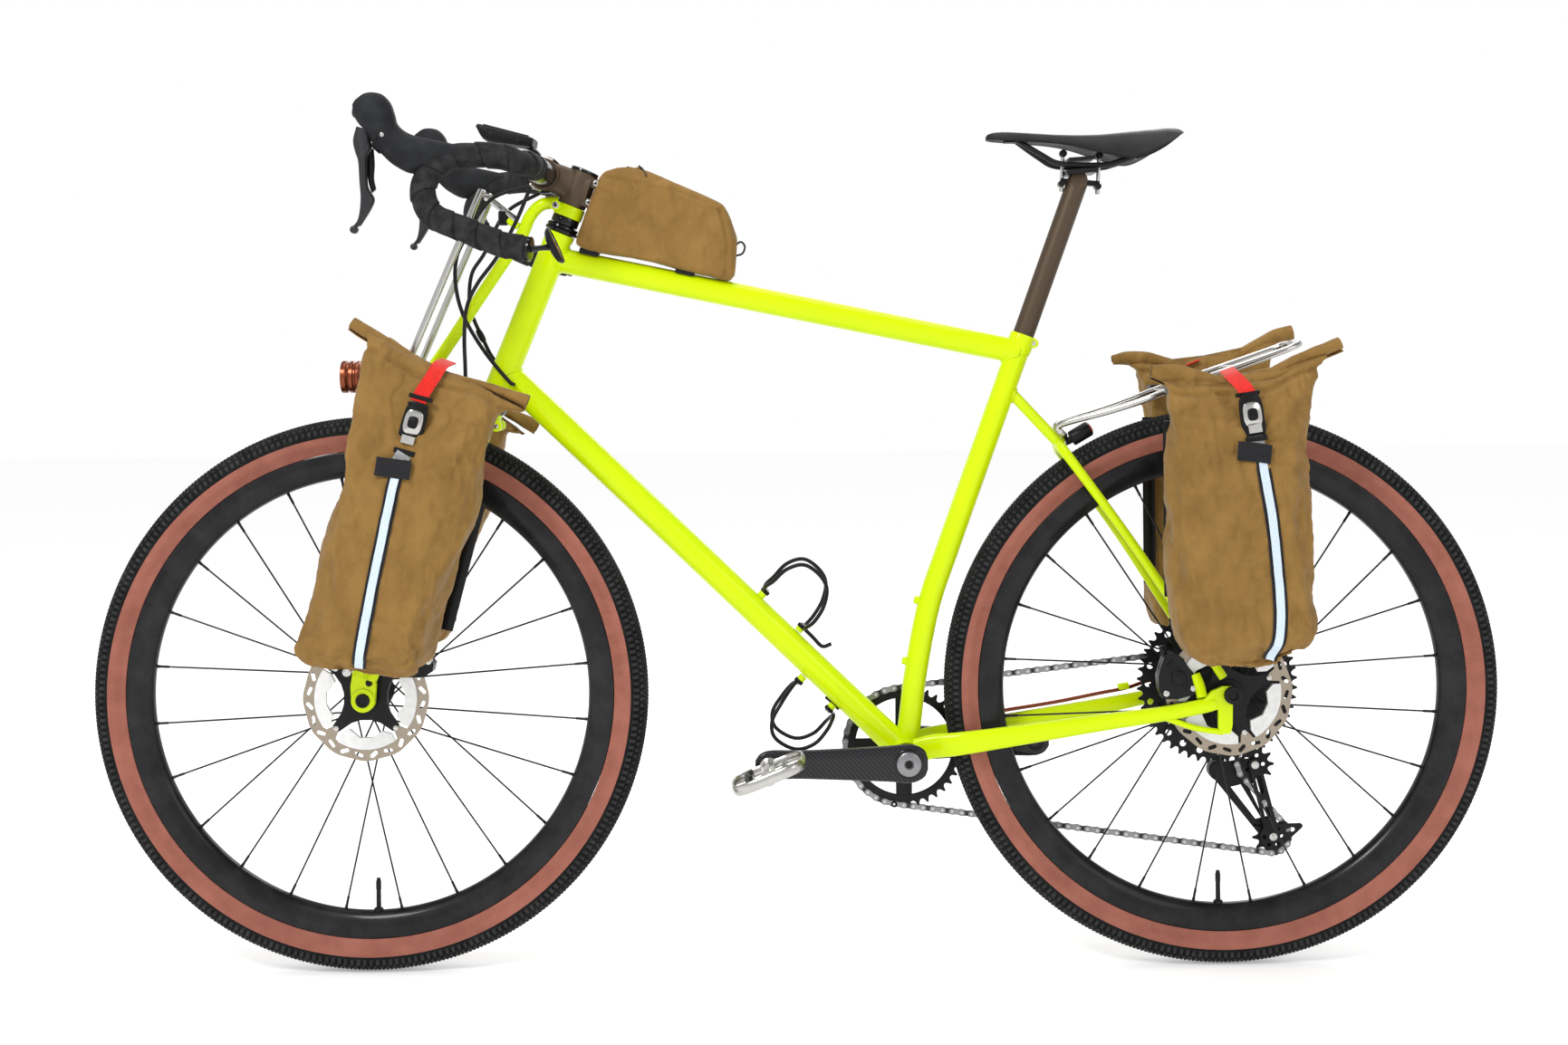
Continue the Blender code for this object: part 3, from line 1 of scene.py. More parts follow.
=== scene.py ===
"""Finish of a loaded drop-bar touring bicycle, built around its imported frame.

Metres, in the frame's own axes: X rearwards, Y to the drive side, Z up from the ground.
Outlines and profiles are in millimetres and go through mm(), pt() or pairs().
The distances and radii given to barrel() are in millimetres too.
"""

from math import atan2, copysign, cos, exp, hypot, pi, radians, sin, sqrt, tau

import bpy
from mathutils import Matrix, Vector, geometry, noise
from mathutils.bvhtree import BVHTree


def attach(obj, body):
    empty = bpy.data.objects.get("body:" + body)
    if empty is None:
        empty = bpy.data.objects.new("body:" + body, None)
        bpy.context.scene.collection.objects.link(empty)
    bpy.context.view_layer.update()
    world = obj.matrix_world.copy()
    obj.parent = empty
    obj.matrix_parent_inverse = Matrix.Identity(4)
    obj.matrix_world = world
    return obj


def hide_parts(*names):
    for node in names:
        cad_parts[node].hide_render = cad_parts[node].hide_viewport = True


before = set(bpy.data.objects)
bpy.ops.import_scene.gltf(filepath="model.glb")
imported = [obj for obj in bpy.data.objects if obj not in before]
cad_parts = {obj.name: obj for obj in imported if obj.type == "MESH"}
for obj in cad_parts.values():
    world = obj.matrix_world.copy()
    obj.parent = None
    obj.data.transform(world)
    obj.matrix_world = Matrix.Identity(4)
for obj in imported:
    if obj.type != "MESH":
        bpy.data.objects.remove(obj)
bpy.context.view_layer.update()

# The frame's own sizes, metres
AXLE_X = 0.546
AXLE_Z = 0.356
RIM_INNER_R = 0.279
SPOKES = 24
HEAD_TOP = Vector((-0.2983, 0.0, 0.9458))
HEAD_BOTTOM = Vector((-0.3874, 0.0, 0.7283))
HEAD_R = 0.018
BB = Vector((0.1404, 0.0, 0.2726))
CRANK_LENGTH = 0.175
SEAT_TUBE_R = 0.0148
TOP_TUBE_R = 0.0159
DOWN_TUBE_R = 0.0175
TAPE_R = 0.0155
ROTOR_R = 0.08
PITCH = 0.0127
RING_TEETH = 38
RING_Y = 0.048
COGS = (50, 42, 36, 32, 28, 24, 21, 18, 15, 13, 11)
COG_FIRST_Y = 0.019
COG_STEP = 0.00375
DRIVEN_COG = 6
JOCKEY_TEETH = 11
JOCKEY_UPPER = Vector((0.598, 0.0, 0.246))
JOCKEY_LOWER = Vector((0.621, 0.0, 0.152))
CAGE_PIVOT = Vector((0.554, 0.0, 0.236))
HOOD_Y = 0.2

FRONT_AXLE = Vector((-AXLE_X, 0.0, AXLE_Z))
REAR_AXLE = Vector((AXLE_X, 0.0, AXLE_Z))
HEAD_UP = (HEAD_TOP - HEAD_BOTTOM).normalized()
HEAD_LENGTH = (HEAD_TOP - HEAD_BOTTOM).length
CHAIN_Y = COG_FIRST_Y + DRIVEN_COG * COG_STEP
X, Y, Z = (Vector(axis) for axis in ((1.0, 0.0, 0.0), (0.0, 1.0, 0.0), (0.0, 0.0, 1.0)))

# The finishes used most
LIME = "lime_paint"
BLACK = "anodised_black"
PLASTIC = "black_plastic"
BOLT = "bolt_steel"
POLISHED = "polished_steel"


def mm(*points):
    """Side-view points (x, z) or (x, z, y) in millimetres as vectors in metres."""
    return [Vector((p[0], p[2] if len(p) > 2 else 0.0, p[1])) / 1000 for p in points]


def pt(x, z, y=0.0):
    return mm((x, z, y))[0]


def mirrored(points):
    return [Vector((p.x, -p.y, p.z)) for p in points]


def both_sides(half):
    return [*reversed(mirrored(half[1:])), *half]


def on_head_axis(above_top):
    return HEAD_TOP + HEAD_UP * above_top


# Shapes are (points, faces)


def outward(points, faces):
    total = 0.0
    for face in faces:
        first = points[face[0]]
        for k in range(1, len(face) - 1):
            total += first.dot(points[face[k]].cross(points[face[k + 1]]))
    if total < 0:
        faces = [tuple(reversed(face)) for face in faces]
    return points, faces


def joined(shapes):
    points, faces = [], []
    for shape_points, shape_faces in shapes:
        start = len(points)
        points.extend(shape_points)
        faces.extend(tuple(i + start for i in face) for face in shape_faces)
    return points, faces


def loft(rings, closed=False):
    count = len(rings[0])
    points = [point for ring in rings for point in ring]
    faces = []
    spans = len(rings) if closed else len(rings) - 1
    for i in range(spans):
        a = i * count
        b = ((i + 1) % len(rings)) * count
        for j in range(count):
            k = (j + 1) % count
            faces.append((a + j, a + k, b + k, b + j))
    if not closed:
        last = (len(rings) - 1) * count
        faces.append(tuple(range(count - 1, -1, -1)))
        faces.append(tuple(last + j for j in range(count)))
    return outward(points, faces)


def spline(values, steps):
    """Smooth curve through points, numbers or pairs, steps to each span."""
    if isinstance(values[0], tuple):
        values = [Vector((*v, 0.0)) for v in values]
        return [(v.x, v.y) for v in spline(values, steps)]
    ends = [2 * values[0] - values[1], *values, 2 * values[-1] - values[-2]]
    made = []
    for i in range(1, len(ends) - 2):
        a, b, c, d = ends[i - 1 : i + 3]
        for k in range(steps):
            t = k / steps
            curve = (c - a) * t + (2 * a - 5 * b + 4 * c - d) * (t * t) + (3 * b - a - 3 * c + d) * t**3
            made.append((2 * b + curve) * 0.5)
    made.append(values[-1])
    return made


def turns(count):
    return [tau * k / count for k in range(count)]


def squared(count, across, up):
    """Cosine and sine round a ring, squared off by powers under one."""
    made = [(cos(a), sin(a)) for a in turns(count)]
    return [(copysign(abs(c) ** across, c), copysign(abs(s) ** up, s)) for c, s in made]


def sweep(path, radius, sides=20, reference=Y, closed=False, shape=None):
    """Tube along a path. A radius is one number or one for each point, each a number or (side, up)."""
    count = len(path)
    tangents = []
    for i in range(count):
        before = path[i - 1] if i or closed else path[0]
        after = path[(i + 1) % count] if i < count - 1 or closed else path[-1]
        tangents.append((after - before).normalized())
    side = reference - tangents[0] * reference.dot(tangents[0])
    rings = []
    for i, point in enumerate(path):
        side = (side - tangents[i] * side.dot(tangents[i])).normalized()
        up = tangents[i].cross(side)
        size = radius[i] if isinstance(radius, list) else radius
        wide, high = size if isinstance(size, tuple) else (size, size)
        ring = []
        for angle in turns(sides):
            grow = shape(i, angle) if shape else 0.0
            ring.append(point + side * ((wide + grow) * cos(angle)) + up * ((high + grow) * sin(angle)))
        rings.append(ring)
    return loft(rings, closed)


def tube(points, radius, steps=6, sides=20, reference=Y, closed=False):
    """Smooth tube through a few points."""
    radii = spline(radius, steps) if isinstance(radius, list) else radius
    return sweep(spline(points, steps), radii, sides, reference, closed)


def axis_frame(axis):
    axis = axis.normalized()
    first = X if abs(axis.x) < 0.9 else Y
    first = (first - axis * first.dot(axis)).normalized()
    return first, axis.cross(first)


def turned(centre, axis, profile, segments=48):
    """Ring of revolution from a closed profile of (radius, height)."""
    u, v = axis_frame(axis)
    axis = axis.normalized()
    outs = [u * cos(a) + v * sin(a) for a in turns(segments)]
    return loft([[centre + out * r + axis * h for r, h in profile] for out in outs], closed=True)


def spun(start, axis, profile, segments=32):
    """Solid of revolution from an open profile of (radius, height), capped flat at both ends."""
    u, v = axis_frame(axis)
    axis = axis.normalized()
    outs = [u * cos(a) + v * sin(a) for a in turns(segments)]
    return loft([[start + axis * h + out * r for out in outs] for r, h in profile])


def rod(start, end, radius, sides=20, round_over=0.0):
    """Cylinder between two points, with rounded-over rims if asked."""
    length = (end - start).length
    r = round_over
    profile = [(radius, 0.0), (radius, length)]
    if r:
        profile = [
            (radius - r, 0.0),
            (radius - 0.3 * r, 0.3 * r),
            (radius, r),
            (radius, length - r),
            (radius - 0.3 * r, length - 0.3 * r),
            (radius - r, length),
        ]
    return spun(start, end - start, profile, sides)


def barrel(at, first, last, radius, sides=20, round_over=0.0):
    """Cylinder across the bicycle between two distances from a point, all in millimetres."""
    start, end = at + Y * (first / 1000), at + Y * (last / 1000)
    return rod(start, end, radius / 1000, sides, round_over / 1000)


def block(centre, size, turn=0.0, axis="Y"):
    spin = Matrix.Rotation(turn, 3, axis)
    rings = []
    for x in (-0.5, 0.5):
        corners = ((-0.5, -0.5), (0.5, -0.5), (0.5, 0.5), (-0.5, 0.5))
        rings.append([centre + spin @ Vector((x * size[0], y * size[1], z * size[2])) for y, z in corners])
    return loft(rings)


def plate(loops, low, high):
    """Plate with holes: loops of (x, z) pairs extruded along Y."""
    flat_loops = [[Vector((a, b, 0.0)) for a, b in loop] for loop in loops]
    outline = [pair for loop in loops for pair in loop]
    count = len(outline)
    points = [Vector((a, level, b)) for level in (low, high) for a, b in outline]
    faces = []

    def facing(face, sign):
        a, b, c = (points[i] for i in face)
        return face if (b - a).cross(c - a).y * sign > 0 else tuple(reversed(face))

    for a, b, c in geometry.tessellate_polygon(flat_loops):
        faces.append(facing((a, b, c), -1))
        faces.append(facing((a + count, b + count, c + count), 1))
    start = 0
    for n, loop in enumerate(loops):
        size = len(loop)
        area = sum(loop[i - 1][0] * loop[i][1] - loop[i][0] * loop[i - 1][1] for i in range(size))
        forward = (area > 0) == (n == 0)
        for i in range(size):
            a = start + i
            b = start + (i + 1) % size
            quad = (a, b, b + count, a + count)
            faces.append(quad if forward else tuple(reversed(quad)))
        start += size
    return points, faces


def polar(centre, radius, angle):
    """Side-view (x, z) pair at an angle round a centre."""
    return centre.x + radius * cos(angle), centre.z + radius * sin(angle)


def circle(cx, cz, radius, count=32):
    return [(cx + radius * cos(a), cz + radius * sin(a)) for a in turns(count)]


def arc(cx, cz, radius, first, last, count):
    turns = [first + (last - first) * k / (count - 1) for k in range(count)]
    return [(cx + radius * cos(a), cz + radius * sin(a)) for a in turns]


def pairs(*points):
    return [(x / 1000, z / 1000) for x, z in points]


def slot_loop(cx, cz, length, width, angle, count=6):
    """Rounded slot outline round a centre, its long side at an angle."""
    half = (length - width) / 2
    ends = []
    for sign in (1, -1):
        x, z = cx + sign * half * cos(angle), cz + sign * half * sin(angle)
        start = angle - sign * pi / 2
        ends += arc(x, z, width / 2, start, start + pi, count)
    return ends


# Materials

# A wave texture's scale times its band's width in metres
BAND = 0.314


def add(tree, kind, inputs=None, **settings):
    """Shader node with its settings and inputs. An input is a value or another node's socket."""
    made = tree.nodes.new(kind)
    for key, value in settings.items():
        setattr(made, key, value)
    for key, value in (inputs or {}).items():
        if isinstance(value, bpy.types.NodeSocket):
            tree.links.new(value, made.inputs[key])
        else:
            made.inputs[key].default_value = value
    return made


class Finish:
    """A material in the making, with its Principled shader and its object's own coordinates."""

    def __init__(self, name, colour, metallic=0.0, roughness=0.5, **more):
        self.material = bpy.data.materials.new(name)
        self.material.use_nodes = True
        self.tree = self.material.node_tree
        self.shader = self.tree.nodes["Principled BSDF"]
        values = {"Base Color": (*colour, 1.0), "Metallic": metallic, "Roughness": roughness}
        if metallic < 0.5:
            values["Specular IOR Level"] = 0.16
        values.update({key.replace("_", " "): value for key, value in more.items()})
        for key, value in values.items():
            self.shader.inputs[key].default_value = value
        self.place = self.stretched((1.0, 1.0, 1.0))

    def add(self, kind, output, inputs, **settings):
        return add(self.tree, kind, inputs, **settings).outputs[output]

    def stretched(self, scale):
        coords = self.add("ShaderNodeTexCoord", "Object", {})
        return self.add("ShaderNodeMapping", "Vector", {"Vector": coords, "Scale": scale})

    def noise(self, scale, detail=4.0, roughness=0.55, place=None):
        inputs = {"Vector": place or self.place, "Scale": scale, "Detail": detail, "Roughness": roughness}
        return self.add("ShaderNodeTexNoise", "Fac", inputs)

    def beads(self, scale):
        return self.add("ShaderNodeTexVoronoi", "Distance", {"Vector": self.place, "Scale": scale})

    def wave(self, scale, direction="DIAGONAL", distortion=0.0, place=None):
        inputs = {"Vector": place or self.place, "Scale": scale, "Distortion": distortion, "Detail": 1.0}
        return self.add("ShaderNodeTexWave", "Fac", inputs, bands_direction=direction)

    def weave(self, operation, scale, other_scale, distortion=0.0):
        """Threads along both diagonals."""
        crossing = self.wave(other_scale, "DIAGONAL", distortion, self.stretched((1.0, 1.0, -1.0)))
        return self.math(operation, self.wave(scale, "DIAGONAL", distortion), crossing)

    def math(self, operation, a, b=0.0):
        return self.add("ShaderNodeMath", 0, {0: a, 1: b}, operation=operation)

    def tint(self, factor, first, second, low=0.35, high=0.65):
        """Base colour that runs from one colour to another with a factor."""
        ramp = add(self.tree, "ShaderNodeValToRGB", {"Fac": factor})
        for stop, colour, position in zip(ramp.color_ramp.elements, (first, second), (low, high)):
            stop.position = position
            stop.color = (*colour, 1.0)
        self.tree.links.new(ramp.outputs["Color"], self.shader.inputs["Base Color"])

    def rough(self, factor, low, high):
        spread = self.add("ShaderNodeMapRange", "Result", {"Value": factor, "To Min": low, "To Max": high})
        self.tree.links.new(spread, self.shader.inputs["Roughness"])

    def bump(self, height, distance, strength=1.0, below=None):
        inputs = {"Height": height, "Distance": distance, "Strength": strength}
        if below is not None:
            inputs["Normal"] = below
        made = self.add("ShaderNodeBump", "Normal", inputs)
        self.tree.links.new(made, self.shader.inputs["Normal"])
        return made


def shade(colour, factor, lift=0.0):
    return tuple(c * factor + lift for c in colour)


def paint():
    """Gloss paint: a strong lime under a thin clear coat."""
    more = {"Coat_Weight": 0.35, "Coat_Roughness": 0.05, "Specular_IOR_Level": 0.1}
    made = Finish("lime_paint", (0.58, 0.76, 0.002), 0.0, 0.34, Specular_Tint=(0.8, 1.0, 0.05, 1.0), **more)
    made.tint(made.noise(9.0), (0.56, 0.745, 0.002), (0.6, 0.775, 0.002))
    made.bump(made.noise(420.0, 1.0), 0.0001, 0.2)
    return made


def fabric(name, dark, light, thread=0.0011, fold=0.002):
    """Woven waxed cloth: fine threads both ways, faint creases and worn patches, with painted shade
    darkening the colour along the crease lines.
    """
    made = Finish(name, light, 0.0, 0.74, Sheen_Weight=0.1, Sheen_Roughness=0.4)
    patches = made.noise(24.0, 7.0, 0.68)
    folds = made.noise(21.0, 2.5, 0.5, made.stretched((1.0, 0.6, 0.55)))
    ridge = made.math("ABSOLUTE", made.math("SUBTRACT", folds, 0.5))
    # Base colour: worn patches, plus painted shade that darkens it along the crease lines of the folds.
    made.tint(made.math("ADD", patches, made.math("MULTIPLY", ridge, 1.1)), dark, light, 0.4, 0.72)
    made.rough(patches, 0.6, 0.84)
    facets = made.bump(ridge, 0.03, 0.75)
    under = made.bump(made.noise(55.0, 6.0, 0.62), fold, 0.5, facets)
    made.bump(made.weave("ADD", BAND / thread, BAND / thread, 0.4), 0.00025, 0.35, under)
    return made


def webbing(name, colour):
    made = Finish(name, colour, 0.0, 0.65, Sheen_Weight=0.25)
    made.tint(made.noise(240.0, 2.0), shade(colour, 0.75), colour, 0.3, 0.6)
    made.bump(made.wave(BAND / 0.0016), 0.0004, 0.5)
    return made


def rubber(name, colour, roughness, grain, depth):
    made = Finish(name, colour, 0.0, roughness)
    made.tint(made.noise(45.0, 5.0), colour, shade(colour, 1.9, 0.004), 0.4, 0.72)
    made.rough(made.noise(90.0), roughness - 0.1, min(1.0, roughness + 0.12))
    made.bump(made.noise(grain, 3.0), depth, 0.6)
    return made


def sidewall():
    """Tan casing with its fabric cords showing as a fine diagonal weave."""
    made = Finish("tan_sidewall", (0.305, 0.107, 0.077), 0.0, 0.66)
    made.tint(made.noise(30.0, 5.0), (0.27, 0.094, 0.066), (0.335, 0.122, 0.088))
    made.bump(made.weave("ADD", 210.0, 210.0), 0.0002, 0.5)
    return made


def metal(name, colour, roughness, grain=140.0, brush=1.0, metallic=1.0, spread=0.08):
    """Metal whose roughness and colour vary with a fine grain."""
    made = Finish(name, colour, metallic, roughness)
    fine = made.noise(grain, 4.0, 0.6, made.stretched((brush, brush, brush)))
    made.tint(fine, shade(colour, 0.86), colour, 0.3, 0.7)
    made.rough(fine, max(0.02, roughness - spread), roughness + spread)
    made.bump(fine, 0.00006, 0.35)
    return made


def plastic(name, colour, roughness=0.4, grain=260.0, **more):
    made = Finish(name, colour, 0.0, roughness, **more)
    made.tint(made.noise(30.0, 3.0), colour, shade(colour, 1.4, 0.002), 0.4, 0.8)
    made.bump(made.noise(grain, 2.0), 0.00012, 0.4)
    return made


def carbon_rim():
    """Moulded unidirectional carbon under a satin coat, with its marbled flow lines."""
    made = Finish("carbon_rim", (0.006, 0.006, 0.007), 0.0, 0.36, Coat_Weight=0.18, Coat_Roughness=0.1)
    cloud = made.noise(26.0, 8.0, 0.7)
    made.tint(cloud, (0.004, 0.004, 0.005), (0.014, 0.014, 0.016), 0.42, 0.66)
    made.rough(cloud, 0.26, 0.46)
    return made


def carbon_weave():
    """Twill of 3 mm tows under clear coat."""
    made = Finish("carbon_weave", (0.008, 0.008, 0.009), 0.0, 0.35, Coat_Weight=0.35, Coat_Roughness=0.05)
    both = made.weave("MULTIPLY", BAND / 0.003, BAND / 0.0012)
    made.tint(both, (0.003, 0.003, 0.004), (0.04, 0.042, 0.048), 0.25, 0.85)
    made.rough(made.wave(BAND / 0.003), 0.3, 0.55)
    return made


def reflective():
    made = Finish("reflective_tape", (0.62, 0.72, 0.82), 0.25, 0.38)
    beads = made.beads(900.0)
    made.tint(beads, (0.7, 0.8, 0.9), (0.5, 0.6, 0.7), 0.1, 0.9)
    made.bump(beads, 0.00015, 0.4)
    return made


def tape_finish():
    """Cushioned bar tape with a pebbled, faintly perforated skin."""
    made = Finish("bar_tape", (0.013, 0.013, 0.014), 0.0, 0.78)
    pores = made.beads(420.0)
    made.tint(made.noise(70.0), (0.01, 0.01, 0.011), (0.028, 0.028, 0.03))
    made.rough(pores, 0.68, 0.88)
    made.bump(pores, 0.0004, 0.5)
    return made


def lens(name, colour, roughness, ribs, depth, strength):
    made = Finish(name, colour, 0.0, roughness, Coat_Weight=1.0)
    made.bump(made.wave(ribs, "Z"), depth, strength)
    return made


def make_materials():
    made = [
        paint(),
        fabric("olive_cloth", (0.205, 0.112, 0.028), (0.272, 0.153, 0.041)),
        fabric("black_cloth", (0.006, 0.006, 0.007), (0.016, 0.016, 0.018), 0.0012, 0.001),
        webbing("red_webbing", (0.72, 0.014, 0.006)),
        webbing("black_webbing", (0.01, 0.01, 0.012)),
        webbing("grey_webbing", (0.3, 0.31, 0.31)),
        reflective(),
        # The casing's tread rubber is darker than the knob rubber: painted shade in the gaps between the
        # knobs.
        rubber("tread_rubber_painted_shade", (0.0055, 0.0058, 0.006), 0.8, 500.0, 0.0003),
        rubber("knob_rubber", (0.02, 0.0205, 0.021), 0.72, 500.0, 0.0002),
        sidewall(),
        carbon_rim(),
        carbon_weave(),
        tape_finish(),
        rubber("hood_rubber", (0.009, 0.0095, 0.011), 0.66, 700.0, 0.0002),
        rubber("hose_rubber", (0.008, 0.008, 0.009), 0.42, 120.0, 0.0001),
        rubber("saddle_cover", (0.006, 0.006, 0.0065), 0.5, 900.0, 0.0002),
        plastic("black_plastic", (0.0055, 0.0055, 0.006), 0.38),
        plastic("gloss_black", (0.005, 0.005, 0.006), 0.16, Coat_Weight=0.3, Coat_Roughness=0.05),
        plastic("screen_glass", (0.004, 0.005, 0.006), 0.06, 20.0, Coat_Weight=0.6, Coat_Roughness=0.02),
        plastic("anodised_black", (0.008, 0.008, 0.009), 0.32),
        plastic("spoke_black", (0.009, 0.009, 0.009), 0.35),
        metal("lever_grey", (0.035, 0.036, 0.038), 0.36, metallic=0.7),
        metal("polished_steel", (0.5, 0.49, 0.47), 0.15, 12.0, spread=0.03),
        metal("brushed_steel", (0.34, 0.29, 0.23), 0.36, 90.0, 4.0, spread=0.12),
        metal("bolt_steel", (0.55, 0.54, 0.52), 0.28),
        metal("chain_steel", (0.27, 0.27, 0.28), 0.33, 220.0),
        metal("chain_dark", (0.05, 0.048, 0.047), 0.42, 220.0),
        metal("fin_white", (0.78, 0.78, 0.78), 0.36, metallic=0.35, spread=0.05),
        metal("bronze_anodised", (0.08, 0.052, 0.031), 0.5, 300.0, metallic=0.5),
        metal("copper_anodised", (0.24, 0.062, 0.03), 0.28, 80.0, metallic=0.85, spread=0.05),
        metal("pedal_alloy", (0.52, 0.51, 0.49), 0.26, 70.0),
        metal("mirror_face", (0.86, 0.87, 0.88), 0.03, 4.0, spread=0.01),
        lens("lamp_lens", (0.85, 0.87, 0.88), 0.08, 60.0, 0.0006, 0.6),
        lens("red_lens", (0.35, 0.004, 0.004), 0.12, 80.0, 0.0004, 0.5),
    ]
    return {finish.material.name.split(".")[0]: finish.material for finish in made}


# Pieces


def make(name, parts, body, replaces=(), angle=35, bevel=0.0):
    """One piece from (shape, material) parts, riding on a body and standing for CAD nodes."""
    points, faces, index, used = [], [], [], []
    for shape, material in parts:
        if material not in used:
            used.append(material)
        start = len(points)
        points.extend(shape[0])
        faces.extend(tuple(i + start for i in face) for face in shape[1])
        index.extend([used.index(material)] * len(shape[1]))
    mesh = bpy.data.meshes.new(name)
    mesh.from_pydata(points, [], faces)
    for material in used:
        mesh.materials.append(MATERIALS[material])
    mesh.polygons.foreach_set("material_index", index)
    mesh.polygons.foreach_set("use_smooth", [True] * len(faces))
    mesh.set_sharp_from_angle(angle=radians(angle))
    obj = bpy.data.objects.new(name, mesh)
    bpy.context.scene.collection.objects.link(obj)
    if bevel:
        edge = obj.modifiers.new("edges", "BEVEL")
        edge.width = bevel
        edge.segments = 2
        edge.limit_method = "ANGLE"
        edge.angle_limit = radians(40)
        edge.harden_normals = True
    if replaces:
        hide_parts(*replaces)
    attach(obj, body)
    return obj


def skin(node, parts, body, angle=35, bevel=0.0):
    return make(node + "_skin", parts, body, [node], angle, bevel)


# Frame


def reach_to(point, direction, centre, axis, radius):
    """Distance along a line to the near side of a cylinder, or to its closest pass."""
    axis = axis.normalized()
    offset = point - centre
    a_vec = direction - axis * direction.dot(axis)
    b_vec = offset - axis * offset.dot(axis)
    a = a_vec.length_squared
    b = 2 * a_vec.dot(b_vec)
    c = b_vec.length_squared - radius * radius
    inside = max(0.0, b * b - 4 * a * c)
    return (-b - sqrt(inside)) / (2 * a)


def mitred(start, end, radius, first, last, sides=48):
    """Tube whose ends are cut to the cylinders (centre, axis, radius) that it meets, and its weld beads."""
    direction = (end - start).normalized()
    u, v = axis_frame(direction)
    near, far = [], []
    for angle in turns(sides):
        middle = (start + end) / 2 + (u * cos(angle) + v * sin(angle)) * radius
        near.append(middle - direction * reach_to(middle, -direction, *first))
        far.append(middle + direction * reach_to(middle, direction, *last))
    bare = loft([[p - direction * 0.001 for p in near], [p + direction * 0.001 for p in far]])
    return [bare, weld(near, direction), weld(far, direction)]


def weld(ring, direction):
    """Rippled bead of weld along a joint line."""
    path = spline([*ring, ring[0]], 3)[:-1]
    ripple = [0.0021 + 0.00016 * sin(i * 1.7) for i in range(len(path))]
    return sweep(path, ripple, 8, direction, closed=True)


def seat_tube_path():
    return mm((296.8, 810), (248, 676), (199, 541.6), (172, 463.6), (154, 375), (147, 320), (140.4, 272.6))


def frame_skin():
    seat = seat_tube_path()
    head = (HEAD_TOP, HEAD_UP, HEAD_R)
    lug = pairs((16.6, 0), (19.2, 0), (19.2, 6), (18.1, 9), (18, 13))
    profile = lug + [(r, HEAD_LENGTH - h) for r, h in reversed(lug)]
    ports = [rod(p - d, p + d, 0.0045, 16, 0.001) for p, d in cable_ports()]
    skin("head_tube", [(turned(HEAD_BOTTOM, HEAD_UP, profile, 64), LIME)], "frame")
    top = mitred(
        *mm((-300, 911.8), (284, 789.5)), TOP_TUBE_R, head, (seat[0], seat[0] - seat[1], SEAT_TUBE_R),
    )
    skin("top_tube", [(joined(top), LIME)], "frame", 60)
    down = mitred(*mm((-371, 767), (134, 278.8)), DOWN_TUBE_R, head, (BB, Y, 0.02))
    skin("down_tube", [(joined(down + ports), LIME)], "frame", 60)
    seat_tube(seat)


def cable_ports():
    """Place of each port and half of the way through it."""
    return [(pt(-351, 748, y), Vector((0.008, 0.0, -0.008))) for y in (-15.3, 15.3)]


def seat_tube(path):
    collar = pairs((14, -24), (16, -24), (16.6, -18), (16.6, -2), (15.8, 0), (14, 0))
    shell = pairs((15, -34), (20, -34), (20, 34), (15, 34))
    ear = pt(309, 799)
    parts = [
        (sweep(spline(path, 8), SEAT_TUBE_R, 48), LIME),
        (turned(path[0], path[0] - path[1], collar, 48), LIME),
        (barrel(ear, -8, 8, 6.5, 24, 1), LIME),
        (barrel(ear, -8.8, 8.8, 3.5, 6, 0.4), BOLT),
        (turned(BB, Y, shell, 48), LIME),
    ]
    for side in (-1, 1):
        cup = ((15, 34.5), (19.2, 34.5), (19.6, 37), (18.5, 43), (15, 44))
        parts.append((turned(BB, Y, pairs(*[(r, side * h) for r, h in cup]), 40), BLACK))
    for boss in mm((166.5, 466.5), (150.4, 388.5)):
        parts.append((rod(boss, boss + Vector((-0.0135, 0, 0.0039)), 0.0052, 20, 0.0014), LIME))
        parts.append((rod(boss, boss + Vector((-0.0139, 0, 0.004)), 0.0022, 6), BOLT))
    skin("seat_tube", parts, "frame", 60)


def hand(side):
    return "left" if side < 0 else "right"


def chainstay(side):
    line = (
        (152, 280, 25), (175, 286, 27), (205, 290, 35), (280, 302, 45),
        (380, 318, 53), (460, 331, 65), (515, 343, 74), (530, 348, 74.6),
    )
    sizes = pairs((6.5, 15), (7, 15.5), (7, 15), (7.5, 13), (8, 11), (7.5, 9.5), (6, 9), (3, 7))
    outline = pairs(
        (510, 350), (520, 361), (534, 367), (546, 366.5), (553, 363), (556, 356), (553, 349),
        (546, 345), (545.5, 318), (543, 308), (530, 307), (528, 316), (528, 338), (512, 337),
    )
    guard = mm((463, 326, side * 65), (500, 314, side * 70), (534, 309, side * 74))
    shapes = [
        tube(mm(*[(x, z, side * y) for x, z, y in line]), sizes, 6, 28),
        plate([outline], *sorted((side * 0.0713, side * 0.078))),
        tube(guard, 0.0038, 6, 16),
    ]
    if side < 0:
        shapes.append(tube(mm((509, 352, -72), (507, 366, -66), (502, 380, -62)), 0.0068, 4, 20))
    else:
        shapes.append(rod(*mm((424, 345, 61), (438, 347, 62.5)), 0.0048, 16, 0.0008))
    skin("chainstay_" + hand(side), [(shape, LIME) for shape in shapes], "frame", 50)


def seatstays():
    half = mm(
        (340, 669, 0), (341.5, 667, 14), (345, 660, 27), (356, 645, 32.5), (421, 554, 44), (480, 464, 60),
        (536, 377, 70.5),
    )
    sizes = [0.007, 0.007, 0.0068, 0.0064, 0.0058, 0.0056, 0.0056]
    path = both_sides(half)
    radii = [*reversed(sizes[1:]), *sizes]
    parts = [tube(path, radii, 6, 24, X)]
    seat = seat_tube_path()
    parts += mitred(
        *mm((280, 736), (342, 669)), 0.0072, (seat[0], seat[0] - seat[1], SEAT_TUBE_R),
        (Vector((0.342, 0, 0.669)), Y, 0.005), 32,
    )
    skin("seatstays", [(joined(parts), LIME)], "frame", 60)


